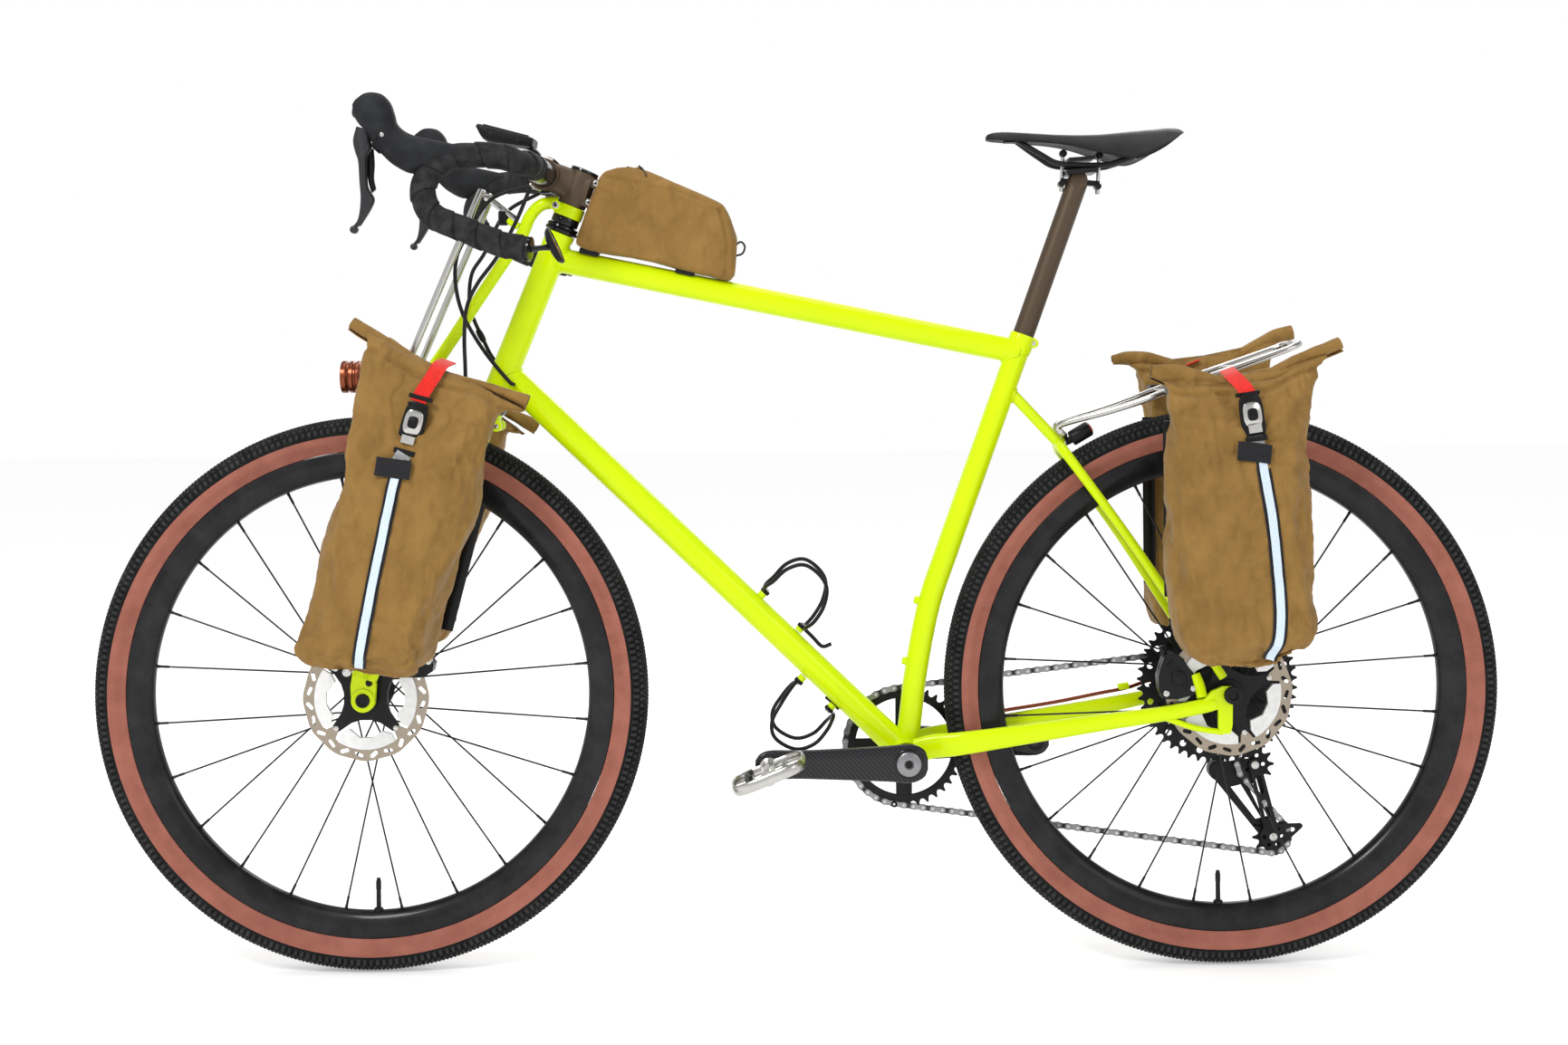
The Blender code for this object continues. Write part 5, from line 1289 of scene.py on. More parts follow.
def saddle():
    sections = (
        (
            250.5, 5, 1064.5, 1062, 0,
        ), (253, 11, 1068, 1060.5, 0), (262, 16, 1070.6, 1059.5, 0), (278, 19, 1071, 1058.5, 0),
        (
            304, 21, 1069.5, 1056.5, 0,
        ), (333, 24, 1067.5, 1054, 0), (359, 29, 1066.5, 1049.5, 0.2), (387, 38, 1066.5, 1041.5, 0.5),
        (
            407, 47, 1067.5, 1036, 0.8,
        ), (430, 57, 1069.3, 1031, 1), (447, 63, 1070.5, 1032.5, 1), (467, 67, 1072, 1042, 1),
        (482, 64, 1073, 1052.5, 1), (493, 56, 1071.8, 1061, 0.8), (498, 44, 1068.8, 1063.5, 0.5),
    )
    rings = []
    for x, wide, top, bottom, dip in zip(
        *(spline([float(v) for v in column], 5) for column in zip(*sections))
    ):
        ring = []
        tall = top - bottom
        for angle in turns(32):
            c, s = cos(angle), sin(angle)
            y = wide * copysign(abs(c) ** 0.85, c)
            if s >= 0:
                z = top - tall * abs(c) ** 2.6 * 0.86 - dip * 1.6 * exp(-((y / 9.0) ** 2))
            else:
                z = bottom + tall * 0.14 * (1 - abs(c) ** 3) + 3.0 * (1 - c * c) * dip
            ring.append(Vector((x, y, z)) / 1000)
        rings.append(ring)
    parts = [(loft(rings), "saddle_cover")]
    for side in (-1, 1):
        parts.append((block(pt(440, 1046, side * 34), (0.024, 0.012, 0.016)), PLASTIC))
    parts.append((block(pt(284, 1060.5), (0.02, 0.018, 0.007)), PLASTIC))
    obj = skin("saddle", parts, "frame", 55)
    skin("saddle_rails", [(tube(rail_path(), 0.0035, 6, 20), BLACK)], "frame")


def seatpost():
    base, head = mm((256, 698), (367.5, 1004))
    length, axis = (head - base).length, (head - base).normalized()
    tilt = radians(-4)
    parts = [
        (
            spun(
                base, axis, [(0.0134, 0.0), (0.0136, 0.001), (0.0136, length), (0.013, length + 0.006)], 48,
            ),
            "bronze_anodised",
        ),
        (barrel(head + axis * 0.004, -13.5, 13.5, 11, 32, 1), "bronze_anodised"),
        (block(pt(371, 1018.5), (0.04, 0.056, 0.006), tilt), BLACK),
        (block(pt(371, 1034.5), (0.034, 0.056, 0.004), tilt), BLACK),
    ]
    for x, low, high in ((347.5, 1004, 1043), (394, 1000, 1040)):
        nut = pt(x, low)
        parts += [
            (rod(*mm((x, low - 6), (x + 2.5, high)), 0.0025, 16), BOLT),
            (barrel(nut, -9, 9, 4.2, 20, 0.6), BLACK),
            (rod(nut - Z * 0.01, nut - Z * 0.004, 0.003, 6), BOLT),
            (barrel(pt(x + 2.5, high), -6, 6, 4.8, 20, 1.2), BLACK),
        ]
    parts.append((block(pt(371, 1005.5), (0.05, 0.012, 0.007), radians(5)), BLACK))
    skin("seatpost", parts, "frame", 40, 0.0004)


# Drivetrain


def pitch_radius(teeth):
    return PITCH / (2 * sin(pi / teeth))


def toothed(cx, cz, teeth, phase, tip=0.003):
    """Sprocket outline: round roots under the rollers and narrow tips between."""
    centre, radius = Vector((cx, 0.0, cz)), pitch_radius(teeth)
    spots = (
        (-0.0034, -0.0016), (-0.0022, -0.0032), (0.0, -0.004), (0.0022, -0.0032),
        (0.0034, -0.0016), (0.0053, tip), (0.0074, tip),
    )
    return [
        polar(centre, radius + rise, phase + angle + along / radius)
        for angle in turns(teeth)
        for along, rise in spots
    ]


def belt_span(a, b):
    (ca, ra, sa), (cb, rb, sb) = a, b
    across = Vector((cb.x - ca.x, cb.z - ca.z))
    offset = sb * rb - sa * ra
    length = sqrt(across.length_squared - offset * offset)
    heading = atan2(across.y, across.x) - atan2(offset, length)
    right = Vector((sin(heading), -cos(heading)))
    return Vector((ca.x, ca.z)) + right * (sa * ra), Vector((cb.x, cb.z)) + right * (sb * rb)


def chain_wheels():
    return (
        (BB, pitch_radius(RING_TEETH), -1, RING_TEETH, RING_Y),
        (REAR_AXLE, pitch_radius(COGS[DRIVEN_COG]), -1, COGS[DRIVEN_COG], CHAIN_Y),
        (JOCKEY_UPPER, pitch_radius(JOCKEY_TEETH), 1, JOCKEY_TEETH, CHAIN_Y),
        (JOCKEY_LOWER, pitch_radius(JOCKEY_TEETH), -1, JOCKEY_TEETH, CHAIN_Y),
    )


def chain_wraps():
    line = chain_wheels()
    spans = [belt_span(line[i][:3], line[(i + 1) % 4][:3]) for i in range(4)]
    wraps = []
    for i, (centre, _, turn, teeth, _) in enumerate(line):
        meet, leave = spans[i - 1][1], spans[i][0]
        first = atan2(meet.y - centre.z, meet.x - centre.x)
        last = atan2(leave.y - centre.z, leave.x - centre.x)
        swept = (turn * (last - first)) % tau
        step = tau / teeth
        links = int(swept / step)
        wraps.append((first + turn * (swept - links * step) / 2, turn * step, links))
    return wraps


def chain_pins():
    line, wraps = chain_wheels(), chain_wraps()
    pins = []
    for i, (centre, radius, _, _, y) in enumerate(line):
        start, step, links = wraps[i]
        for k in range(links + 1):
            x, z = polar(centre, radius, start + step * k)
            pins.append(Vector((x, y, z)))
        after_centre, after_radius, _, _, after_y = line[(i + 1) % 4]
        x, z = polar(after_centre, after_radius, wraps[(i + 1) % 4][0])
        target = Vector((x, after_y, z))
        here = pins[-1]
        count = max(1, round((target - here).length / PITCH))
        for k in range(1, count):
            pin = here.lerp(target, k / count)
            pin.y = here.y + (target.y - here.y) * min(1, max(0, (k - 3) / max(1, count - 6)))
            pins.append(pin)
    return pins


def link_plate(a, b, y, thick, waist=0.72, radius=0.0042):
    """Figure-eight side plate of a link between two pins."""
    line = b - a
    u = Vector((line.x, 0, line.z)).normalized()
    v = Vector((-u.z, 0, u.x))
    loop = []
    for centre, first in ((b, -90), (a, 90)):
        for k in range(7):
            angle = radians(first + 30 * k)
            loop.append(centre + u * (radius * cos(angle)) + v * (radius * sin(angle)))
        sign = 1 if first < 0 else -1
        loop.append(a.lerp(b, 0.5) + v * (sign * radius * waist))
    rings = []
    for offset in (y - thick / 2, y + thick / 2):
        rings.append([p + Y * offset for p in loop])
    return loft(rings)


def chain():
    pins = chain_pins()
    outer, inner, barrels = [], [], []
    for i, pin in enumerate(pins):
        after = pins[(i + 1) % len(pins)]
        if i % 2 == 0:
            outer += [link_plate(pin, after, s * 0.0024, 0.0007) for s in (-1, 1)]
        else:
            inner += [link_plate(pin, after, s * 0.0016, 0.0007) for s in (-1, 1)]
        barrels.append(barrel(pin, -2.9, 2.9, 1.8, 10))
        inner.append(barrel(pin, -1.1, 1.1, 3.7, 14))
    parts = [(joined(outer), "chain_steel"), (joined(inner), "chain_dark"), (joined(barrels), BOLT)]
    make("chain_links", parts, "frame", ["chain"], 30)


def chainring():
    loops = [toothed(BB.x, BB.z, RING_TEETH, chain_wraps()[0][0]), circle(BB.x, BB.z, 0.015, 40)]
    for k in range(4):
        mid = radians(45 + 90 * k)
        outer = arc(BB.x, BB.z, 0.0635, mid - 0.62, mid + 0.62, 16)
        loops.append(outer + arc(BB.x, BB.z, 0.0255, mid + 0.35, mid - 0.35, 7))
    ring = pairs((64.5, -2.2), (69, -1.8), (69, 1.8), (64.5, 2.2))
    parts = [
        (plate(loops, RING_Y - 0.0009, RING_Y + 0.0009), BLACK),
        (turned(BB + Y * RING_Y, Y, ring, 96), BLACK),
    ]
    for turn in turns(4):
        spots = [polar(BB, r, turn) for r in (0.02, 0.045, 0.066)]
        rib = [Vector((x, RING_Y, z)) for x, z in spots]
        parts.append((tube(rib, pairs((1.9, 8.5), (1.9, 5.5), (1.9, 7)), 5, 16), BLACK))
    skin("chainring", parts, "crankset", 30, 0.0004)


def crank_arm(direction, y_in, y_out):
    """Carbon arm: a soft tapered bar with rounded ends, from its boss to its pedal eye."""
    side = 1 if y_out > y_in else -1
    stations = pairs(
        (-23.8, 7.5), (-20, 16.5), (-10, 22.6), (0, 24.5), (12, 23.6), (30, 22.2), (80, 19.8), (135, 17.8),
        (165, 18.2), (178, 17.2), (187, 13), (192.5, 5.5),
    )
    rings = []
    for along, high in spline(stations, 4):
        middle = (y_in + y_out) / 2 + side * 0.0012 * sin(pi * min(1, max(0, along / CRANK_LENGTH)))
        half = abs(y_out - y_in) / 2 * (0.92 if along < 0.17 else 0.82)
        x = BB.x + direction * along
        rings.append([Vector((x, middle + half * c, BB.z + high * s)) for c, s in squared(28, 0.5, 0.62)])
    return loft(rings)


def cranks():
    eye = pairs((6.2, 0), (10, 0), (10.5, 1), (10.5, 14), (10, 15), (6.2, 15))
    ring = pairs((15.6, 0), (19.2, 0), (19.2, 1.8), (18.2, 2.6), (15.6, 2.6))
    bolt = pairs((15.4, 0), (15.4, 2.4), (14.2, 3.4), (6, 3.6), (5.2, 1.8), (1, 1.8))
    for side in (-1, 1):
        face = BB + Y * side * 0.0755
        eye_place = BB + X * side * CRANK_LENGTH + Y * side * 0.062
        parts = [
            (crank_arm(side, side * 0.062, side * 0.077), "carbon_weave"),
            (turned(eye_place, Y * side, eye, 32), BLACK),
            (turned(face, Y * side, ring, 48), "gloss_black"),
            (spun(face, Y * side, bolt, 48), "chain_steel"),
            # Black eight-sided disc in the bolt's socket: painted shade of the hole.
            (barrel(face, side * 1.6, side * 2.6, 5, 8), PLASTIC),
        ]
        if side > 0:
            parts.append((barrel(BB, -61.5, 64, 14.5, 32), BLACK))
            parts.append((barrel(BB, 49.3, 63, 19.5, 40, 1), BLACK))
        else:
            collar = pairs((18.5, 0), (18.5, 17), (17, 18))
            parts.append((spun(BB - Y * 0.0445, -Y, collar, 40), BLACK))
        skin("crank_" + hand(side), parts, "crankset", 40)


def pedal(side):
    """Clipless touring pedal: open cage, spindle barrel and spring-loaded jaws."""
    centre = BB + X * side * CRANK_LENGTH
    spin = Matrix.Rotation(radians(-22), 3, "Y")

    def at(x, y, z=0.0):
        return centre + spin @ Vector((x, 0.0, z)) + Y * side * y

    flange = pairs((7.5, 0), (12, 2), (12, 8), (9.5, 10))
    half = ((0.03, 0.086), (0.044, 0.098), (0.046, 0.124), (0.043, 0.148), (0.03, 0.161))
    other = [(-x, y) for x, y in reversed(half)]
    loop = [at(x, y) for x, y in (*half, (0.0, 0.163), *other, (0.0, 0.084))]
    path = spline([*loop, loop[0]], 4)[:-1]
    parts = [
        (rod(at(0, 0.078), at(0, 0.158), 0.0095, 28, 0.001), "pedal_alloy"),
        (rod(at(0, 0.0635), at(0, 0.08), 0.0056, 20), BOLT),
        (spun(at(0, 0.078), Y * side, flange, 28), "pedal_alloy"),
        (sweep(path, (0.0026, 0.0068), 14, spin @ X, closed=True), "pedal_alloy"),
    ]
    for x, lift in ((-0.022, 1), (0.022, -1)):
        jaw = [at(x, 0.104, 0.004 * lift), at(x * 1.25, 0.124, 0.006 * lift), at(x, 0.144, 0.004 * lift)]
        parts += [
            (tube(jaw, [(0.003, 0.006)] * 3, 6, 14, X), "chain_dark"),
            (rod(at(x, 0.108), at(x, 0.14), 0.0045, 16, 0.0006), "chain_steel"),
            (rod(at(0, 0.124), at(x * 1.9, 0.124), 0.004, 14), "pedal_alloy"),
        ]
    skin("pedal_" + hand(side), parts, hand(side) + "_pedal", 40)


def cassette():
    phase = chain_wraps()[1][0]
    parts = []
    for k, teeth in enumerate(COGS):
        y = COG_FIRST_Y + k * COG_STEP
        loops = [
            toothed(AXLE_X, AXLE_Z, teeth, phase if k == DRIVEN_COG else 0.4 * k),
            circle(AXLE_X, AXLE_Z, 0.0172, 32),
        ]
        radius = pitch_radius(teeth)
        outer, inner = (24, 18) if radius > 0.09 else (18, 14)
        for hole_ring, count, size in ((radius - 0.0115, outer, 0.0042), (radius - 0.0235, inner, 0.0044)):
            if radius > 0.045 and hole_ring >= 0.03:
                for n in range(count):
                    loops.append(circle(*polar(REAR_AXLE, hole_ring, tau * (n + 0.3 * k) / count), size, 10))
        parts.append((plate(loops, y - 0.0008, y + 0.0008), BLACK if k < 3 else "chain_dark"))
    carrier = pairs((16.5, 17.7), (21.5, 17.7), (20.5, 58), (16.5, 58))
    parts.append((turned(REAR_AXLE, Y, carrier, 40), BLACK))
    skin("cassette", parts, "sprockets", 30)


def jockey(name, centre, wrap, body):
    loops = [
        toothed(centre.x, centre.z, JOCKEY_TEETH, wrap[0], 0.0036), circle(centre.x, centre.z, 0.0036, 16),
    ]
    loops += [circle(*polar(centre, 0.0118, turn), 0.0026, 10) for turn in turns(5)]
    bush = pairs((3.5, -3.5), (7.2, -3.5), (7.6, -3), (7.6, 3), (7.2, 3.5), (3.5, 3.5))
    parts = [
        (plate(loops, CHAIN_Y - 0.0009, CHAIN_Y + 0.0009), PLASTIC),
        (turned(centre + Y * CHAIN_Y, Y, bush, 28), BLACK),
    ]
    skin(name, parts, body, 30)


def hull_pairs(*discs):
    cloud = []
    for x, z, r in discs:
        cloud.extend(Vector(p) for p in circle(x, z, r, 24))
    return [tuple(cloud[i]) for i in geometry.convex_hull_2d(cloud)]


def derailleur():
    p, u, low = CAGE_PIVOT, JOCKEY_UPPER, JOCKEY_LOWER
    along = low - u
    windows = []
    for quad in (
        ((0.8, -0.04), (0.5, 0.26), (0.17, 0.09), (0.33, -0.07)),
        ((0.34, 0.46), (0.02, 0.78), (-0.03, 0.29), (0.1, 0.16)),
    ):
        corners = [p * a + u * b + low * (1.0 - a - b) for a, b in quad]
        windows.append([(v.x, v.z) for v in corners])
    outer = [hull_pairs((p.x, p.z, 0.012), (u.x, u.z, 0.007), (low.x, low.z, 0.012)), *windows]
    ring = [hull_pairs((low.x, low.z, 0.0168), (0.656, 0.166, 0.0035))]
    ring += [circle(*polar(low, 0.0115, turn), 0.0031, 10) for turn in turns(6)]
    ring.append(slot_loop(0.6435, 0.1605, 0.012, 0.0058, 0.28))
    inner = [hull_pairs((u.x, u.z, 0.008), (low.x, low.z, 0.009))]
    for k in (0.28, 0.62):
        inner.append(slot_loop(u.x + along.x * k, u.z + along.z * k, 0.026, 0.0075, atan2(along.z, along.x)))
    parts = []
    for loops, near in ((outer, 0.0047), (ring, -0.0065), (inner, -0.0066)):
        parts.append((plate(loops, CHAIN_Y + near, CHAIN_Y + near + 0.0018), BLACK))
    for c in (u + Y * CHAIN_Y, low + Y * CHAIN_Y):
        parts.append((barrel(c, -7.5, 7.8, 3, 20), "chain_dark"))
        parts.append((barrel(c, -7.8, -6.2, 5.2, 20, 0.4), BOLT))
    skin("derailleur_cage", parts, "cage", 30, 0.0003)
    knuckle = pt(556, 322)
    body = [
        (barrel(p, 1000 * CHAIN_Y + 7, 70, 13.5, 36, 1.8), PLASTIC),
        (barrel(p, 69.5, 71.2, 6, 24, 0.6), BOLT),
        (barrel(knuckle, 78.4, 94, 11.5, 36, 1.5), PLASTIC),
        (barrel(knuckle, 93.6, 95, 5.2, 6), BOLT),
    ]
    for x in (-4.5, 4.5):
        link = mm((555 + x, 240, 62), (557 + x, 262, 72), (558 + x, 296, 86), (556 + x, 318, 88))
        body.append((tube(link, [(0.0055, 0.0042)] * 4, 8, 20), BLACK))
    cover = mm((557, 262, 80), (558, 285, 90), (556, 305, 92))
    body.append((tube(cover, [(0.004, 0.009)] * 3, 6, 20), PLASTIC))
    skin("derailleur_body", body, "frame", 40)


def caliper(name, body, outline, y, outer, inner, extras):
    """Two halves either side of the rotor at y, and what is screwed to them."""
    halves = [plate([outline], outer, y - 0.0017), plate([outline], y + 0.0017, inner)]
    parts = [(half, BLACK) for half in halves] + extras
    skin(name, parts, body, 30, 0.0012)


def calipers():
    front = pairs(
        (
            -521, 399,
        ), (-512, 388), (-500, 384), (-470, 384), (-459, 391), (-457, 400), (-464, 410), (-490, 413),
        (-513, 409),
    )
    extras = [(barrel(pt(x, 404), -56, -44, 4.2, 20, 0.5), BOLT) for x in (-514, -464)]
    extras.append((barrel(pt(-489, 398), -57.5, -52, 10.5, 32, 1.2), BLACK))
    extras.append((rod(*mm((-486, 408, -46), (-486, 421, -46)), 0.0038, 16, 0.0005), BLACK))
    caliper("front_caliper", "steering", front, -0.0395, -0.054, -0.03, extras)
    rear = pairs(
        (
            461, 350,
        ), (480, 350), (500, 355), (509, 363), (506, 375), (494, 389), (485, 402), (475, 408), (464, 405),
        (459, 392), (455, 378), (456, 362),
    )
    rib = pairs((466, 392), (488, 362), (494, 366), (473, 398))
    extras = [
        (barrel(pt(481, 377), -69.5, -65, 9, 32, 1.2), BLACK),
        (plate([rib], -0.0684, -0.066), PLASTIC),
        (barrel(pt(465, 357), -68.5, -58.5, 4, 20, 0.5), BOLT),
        (barrel(pt(499, 363), -68.5, -58.5, 4, 20, 0.5), BOLT),
        (rod(*mm((465, 403, -58), (461, 416, -58)), 0.004, 20, 0.0006), BLACK),
    ]
    caliper("rear_caliper", "frame", rear, -0.0557, -0.0665, -0.044, extras)


def hoses():
    routes = {
        "derailleur_cable": (
            (262, 317.2, 44), (278, 319.5, 45.5), (340, 328, 51), (400, 338.3, 57), (435, 343.8, 62),
            (470, 352, 73), (505, 350, 86), (540, 336, 94), (552, 334.9, 96),
        ),
        "rear_brake_hose": (
            (-330, 1003, -62), (-380, 985, -60), (-418, 933, -39), (-428, 906, -36), (-427, 871, -36),
            (-417, 836, -33), (-393, 795, -32), (-364, 758, -27), (-357, 752, -21),
        ),
        "shift_cable": (
            (-330, 1004, 62), (-376, 976, 52), (-402, 924, 42), (-418, 896, 34), (-421, 859, 30),
            (-416, 839, 29), (-402, 808, 28), (-389, 784, 28), (-364, 758, 26), (-357, 752, 21),
        ),
        "front_brake_hose": (
            (
                -327, 1001, -75,
            ), (-345, 960, -70), (-371, 914, -64), (-397, 880, -60), (-411, 850, -58), (-414, 812, -60),
            (
                -414, 740, -61,
            ), (-430, 655, -62), (-462, 560, -62), (-480, 470, -60), (-484, 430, -50), (-486, 412.5, -46),
        ),
    }
    for name, points in routes.items():
        body, finish, slot = "steering", "hose_rubber", "cable_black"
        if name == "derailleur_cable":
            body, finish, slot = "frame", "copper_anodised", "copper_jacket"
        parts = [(tube(mm(*points), 0.0025, 8, 16), finish)]
        if name == "shift_cable":
            a, b = mm((-410, 823, 28.6), (-402, 808, 28))
            joint = [a.lerp(b, k / 3) for k in range(4)]
            parts.append((tube(joint, [0.0034, 0.0042, 0.0042, 0.0034], 4, 16), BLACK))
        skin(name, parts, body, 40)


# Bags


def axis_mix(values, share):
    """Value at a share of the way along a list."""
    spot = share * (len(values) - 1)
    i = min(int(spot), len(values) - 2)
    return values[i] + (values[i + 1] - values[i]) * (spot - i)


def heading(path, i):
    return (path[min(i + 1, len(path) - 1)] - path[max(i - 1, 0)]).normalized()


def bag_body(spec, side, rows=34, columns=52):
    """Closed bag skin between its edge lines, bottom to top, its mouth gathered along the roll."""
    front_line, back_line, mouth = (spline(mm(*spec[key]), 8) for key in ("front", "back", "mouth"))
    near_line, far_line = (spline([v / 1000 for v in spec[key]], 8) for key in ("near", "far"))
    rings = []
    for r in range(rows + 1):
        share = r / rows
        a, b = axis_mix(front_line, share), axis_mix(back_line, share)
        y_in, y_out = axis_mix(near_line, share), axis_mix(far_line, share)
        lift = max(0.0, (share - 0.62) / 0.38) ** 1.6
        power = 0.3 + 0.16 * share
        ring = []
        for c, s in squared(columns, power, power):
            spot = (a + b) / 2 + (b - a) / 2 * c
            spot = spot.lerp(Vector((spot.x, 0.0, axis_mix(mouth, 0.5 + 0.5 * c).z)), lift)
            ring.append(spot + Y * (side * ((y_in + y_out) / 2 + (y_out - y_in) / 2 * s)))
        rings.append(ring)
    return loft(rings)


def finer(obj, levels):
    """Gives a piece the rounded, finer mesh of its subdivided skin."""
    smooth = obj.modifiers.new("smooth", "SUBSURF")
    smooth.levels = levels
    graph = bpy.context.evaluated_depsgraph_get()
    mesh = bpy.data.meshes.new_from_object(obj.evaluated_get(graph))
    obj.modifiers.remove(smooth)
    obj.data = mesh
    mesh.polygons.foreach_set("use_smooth", [True] * len(mesh.polygons))


def ridged(spot):
    """1 on a sharp crease line, falling to 0 between the lines."""
    return max(0.0, 1.0 - 2.6 * abs(noise.noise(spot)))


def line_gap(spot, line):
    """Distance in side view from a point to a line of points."""
    best = 1.0
    for a, b in zip(line, line[1:]):
        along = b - a
        share = max(0.0, min(1.0, (spot - a).dot(along) / along.length_squared))
        best = min(best, (spot - a - along * share).length)
    return best


def settle(obj, frames, pressure, spare, cap, hold):
    """Swells and creases a cloth skin by simulation, then keeps each point within a cap of where it was."""
    rest = [v.co.copy() for v in obj.data.vertices]
    group = obj.vertex_groups.new(name="held")
    for v in obj.data.vertices:
        if hold(v.co):
            group.add([v.index], 1.0, "REPLACE")
    modifier = obj.modifiers.new("cloth", "CLOTH")
    stiffness = {
        "tension_stiffness": 25, "compression_stiffness": 25, "shear_stiffness": 8,
        "bending_stiffness": 0.35,
    }
    values = {
        "quality": 6, "mass": 0.35, **stiffness, "air_damping": 3, "use_pressure": True,
        "uniform_pressure_force": pressure, "shrink_min": -spare, "vertex_group_mass": "held",
    }
    for key, value in values.items():
        setattr(modifier.settings, key, value)
    modifier.settings.effector_weights.gravity = 0
    modifier.point_cache.frame_start = 1
    modifier.point_cache.frame_end = frames
    scene = bpy.context.scene
    for step in range(1, frames + 1):
        scene.frame_set(step)
    graph = bpy.context.evaluated_depsgraph_get()
    moved = [v.co.copy() for v in obj.evaluated_get(graph).data.vertices]
    obj.modifiers.remove(modifier)
    scene.frame_set(1)
    obj.vertex_groups.clear()
    for v, start, end in zip(obj.data.vertices, rest, moved):
        shift = end - start
        v.co = start + shift * min(1.0, cap / max(shift.length, 1e-9))
    obj.data.update()


def creased(obj, amount, seed, pull=None, seams=(), mouth=(), pinch=None):
    """Crumple of stiff cloth: sharp creases, soft dents, folds out from the buckle, and sewn seams."""
    lines = [(spline(mm(*seam), 3), 0.0017, 0.0024) for seam in seams]
    if mouth:
        lines.append((spline(mm(*[(x, z - 7) for x, z in mouth]), 3), 0.005, 0.0034))
    pull = pt(*pull) if pull else None
    pinch = pt(*pinch) if pinch else None
    for v, normal in zip(obj.data.vertices, [v.normal.copy() for v in obj.data.vertices]):
        p = v.co
        flat = Vector((p.x, 0.0, p.z))
        warp = Vector((noise.noise(p * 14.0), noise.noise(p * 14.0 + X * 7), 0.0)) * 0.35
        base = Vector((p.x * 30 + p.z * 13, p.y * 26, p.z * 21 - p.x * 9 + seed)) + warp
        soft = noise.noise(Vector((p.x * 9, p.y * 9, p.z * 6 + seed)))
        sharp = 0.6 * ridged(base) + 0.5 * ridged(base * 1.9) + 0.28 * ridged(base * 3.9)
        move = amount * (sharp + 0.3 * soft - 0.45)
        if pull is not None:
            away = flat - pull
            fade = exp(-away.length / 0.16) * min(1.0, away.length / 0.03)
            fold = ridged(Vector((atan2(away.x, -away.z) * 2.1, away.length * 3.0, seed)))
            move += amount * 1.7 * fade * (fold - 0.3)
        if pinch is not None:
            away = flat - pinch
            near = exp(-((away.length / 0.035) ** 2))
            fold = ridged(Vector((atan2(away.x, away.z) * 3.2, away.length * 8.0, seed)))
            move += near * (0.0042 * (fold - 0.5) - 0.003)
        for line, depth, wide in lines:
            gap = line_gap(flat, line)
            if gap < 0.012:
                move += 0.0006 * exp(-(((gap - 0.0052) / 0.0022) ** 2)) - depth * exp(-((gap / wide) ** 2))
        v.co = p + normal * (move * (0.3 + 0.7 * abs(normal.y)))
    obj.data.update()


def surface_of(obj):
    graph = bpy.context.evaluated_depsgraph_get()
    return BVHTree.FromObject(obj, graph)


def on_skin(tree, x, z, side, lift, fallback):
    """Point on a bag's outer face at a side-view place."""
    origin = Vector((x, side * 0.5, z))
    hit = tree.ray_cast(origin, Vector((0, -side, 0)))
    y = hit[0].y if hit[0] is not None else fallback
    return Vector((x, y + side * lift, z))


def strap(tree, line, width, lift, thick, side, fallback, steps=6):
    """Flat strap laid on a bag's outer face along a side-view line in millimetres."""
    path = spline(mm(*line), steps)
    rings = []
    for i, p in enumerate(path):
        along = heading(path, i)
        across = Vector((-along.z, 0, along.x))
        spots = [p + across * (width * (k / 4 - 0.5)) for k in range(5)]
        bottom = [on_skin(tree, spot.x, spot.z, side, lift, fallback) for spot in spots]
        middle = sum((q.y for q in bottom), 0.0) / 5
        for q in bottom:
            q.y = middle + (q.y - middle) * 0.45
        rings.append(bottom + [q + Y * (side * thick) for q in reversed(bottom)])
    return loft(rings)


def rolled_top(line, heights, thick, side, y_mid):
    """Rolled closure: a flattened spiral of cloth along the bag's mouth."""
    path = [Vector((p.x, side * y_mid, p.z)) for p in spline(mm(*line), 8)]
    tall = spline([float(h) for h in heights], 8)
    count = 34
    rings = []
    for i, spot in enumerate(path):
        along = heading(path, i)
        up = Vector((-along.z, 0.0, along.x))
        up = up if up.z > 0 else -up
        high = tall[min(i, len(tall) - 1)] / 2000
        outer, inner = [], []
        for k in range(count + 1):
            share = k / count
            angle = -0.5 * pi - tau * 1.75 * (1 - share)
            wrinkle = 0.0009 * noise.noise(spot * 70 + Vector((cos(angle), sin(angle), 2 * share)))
            grow = 0.38 + 0.62 * share
            for ring, less in ((outer, 0.0), (inner, 0.0013)):
                wide = max(0.0008, thick / 2 * grow - less + wrinkle)
                rise = max(0.0008, high * grow - less + wrinkle)
                ring.append(spot + Y * (side * wide * cos(angle)) + up * (rise * sin(angle)))
        rings.append(outer + inner[::-1])
    return loft(rings)


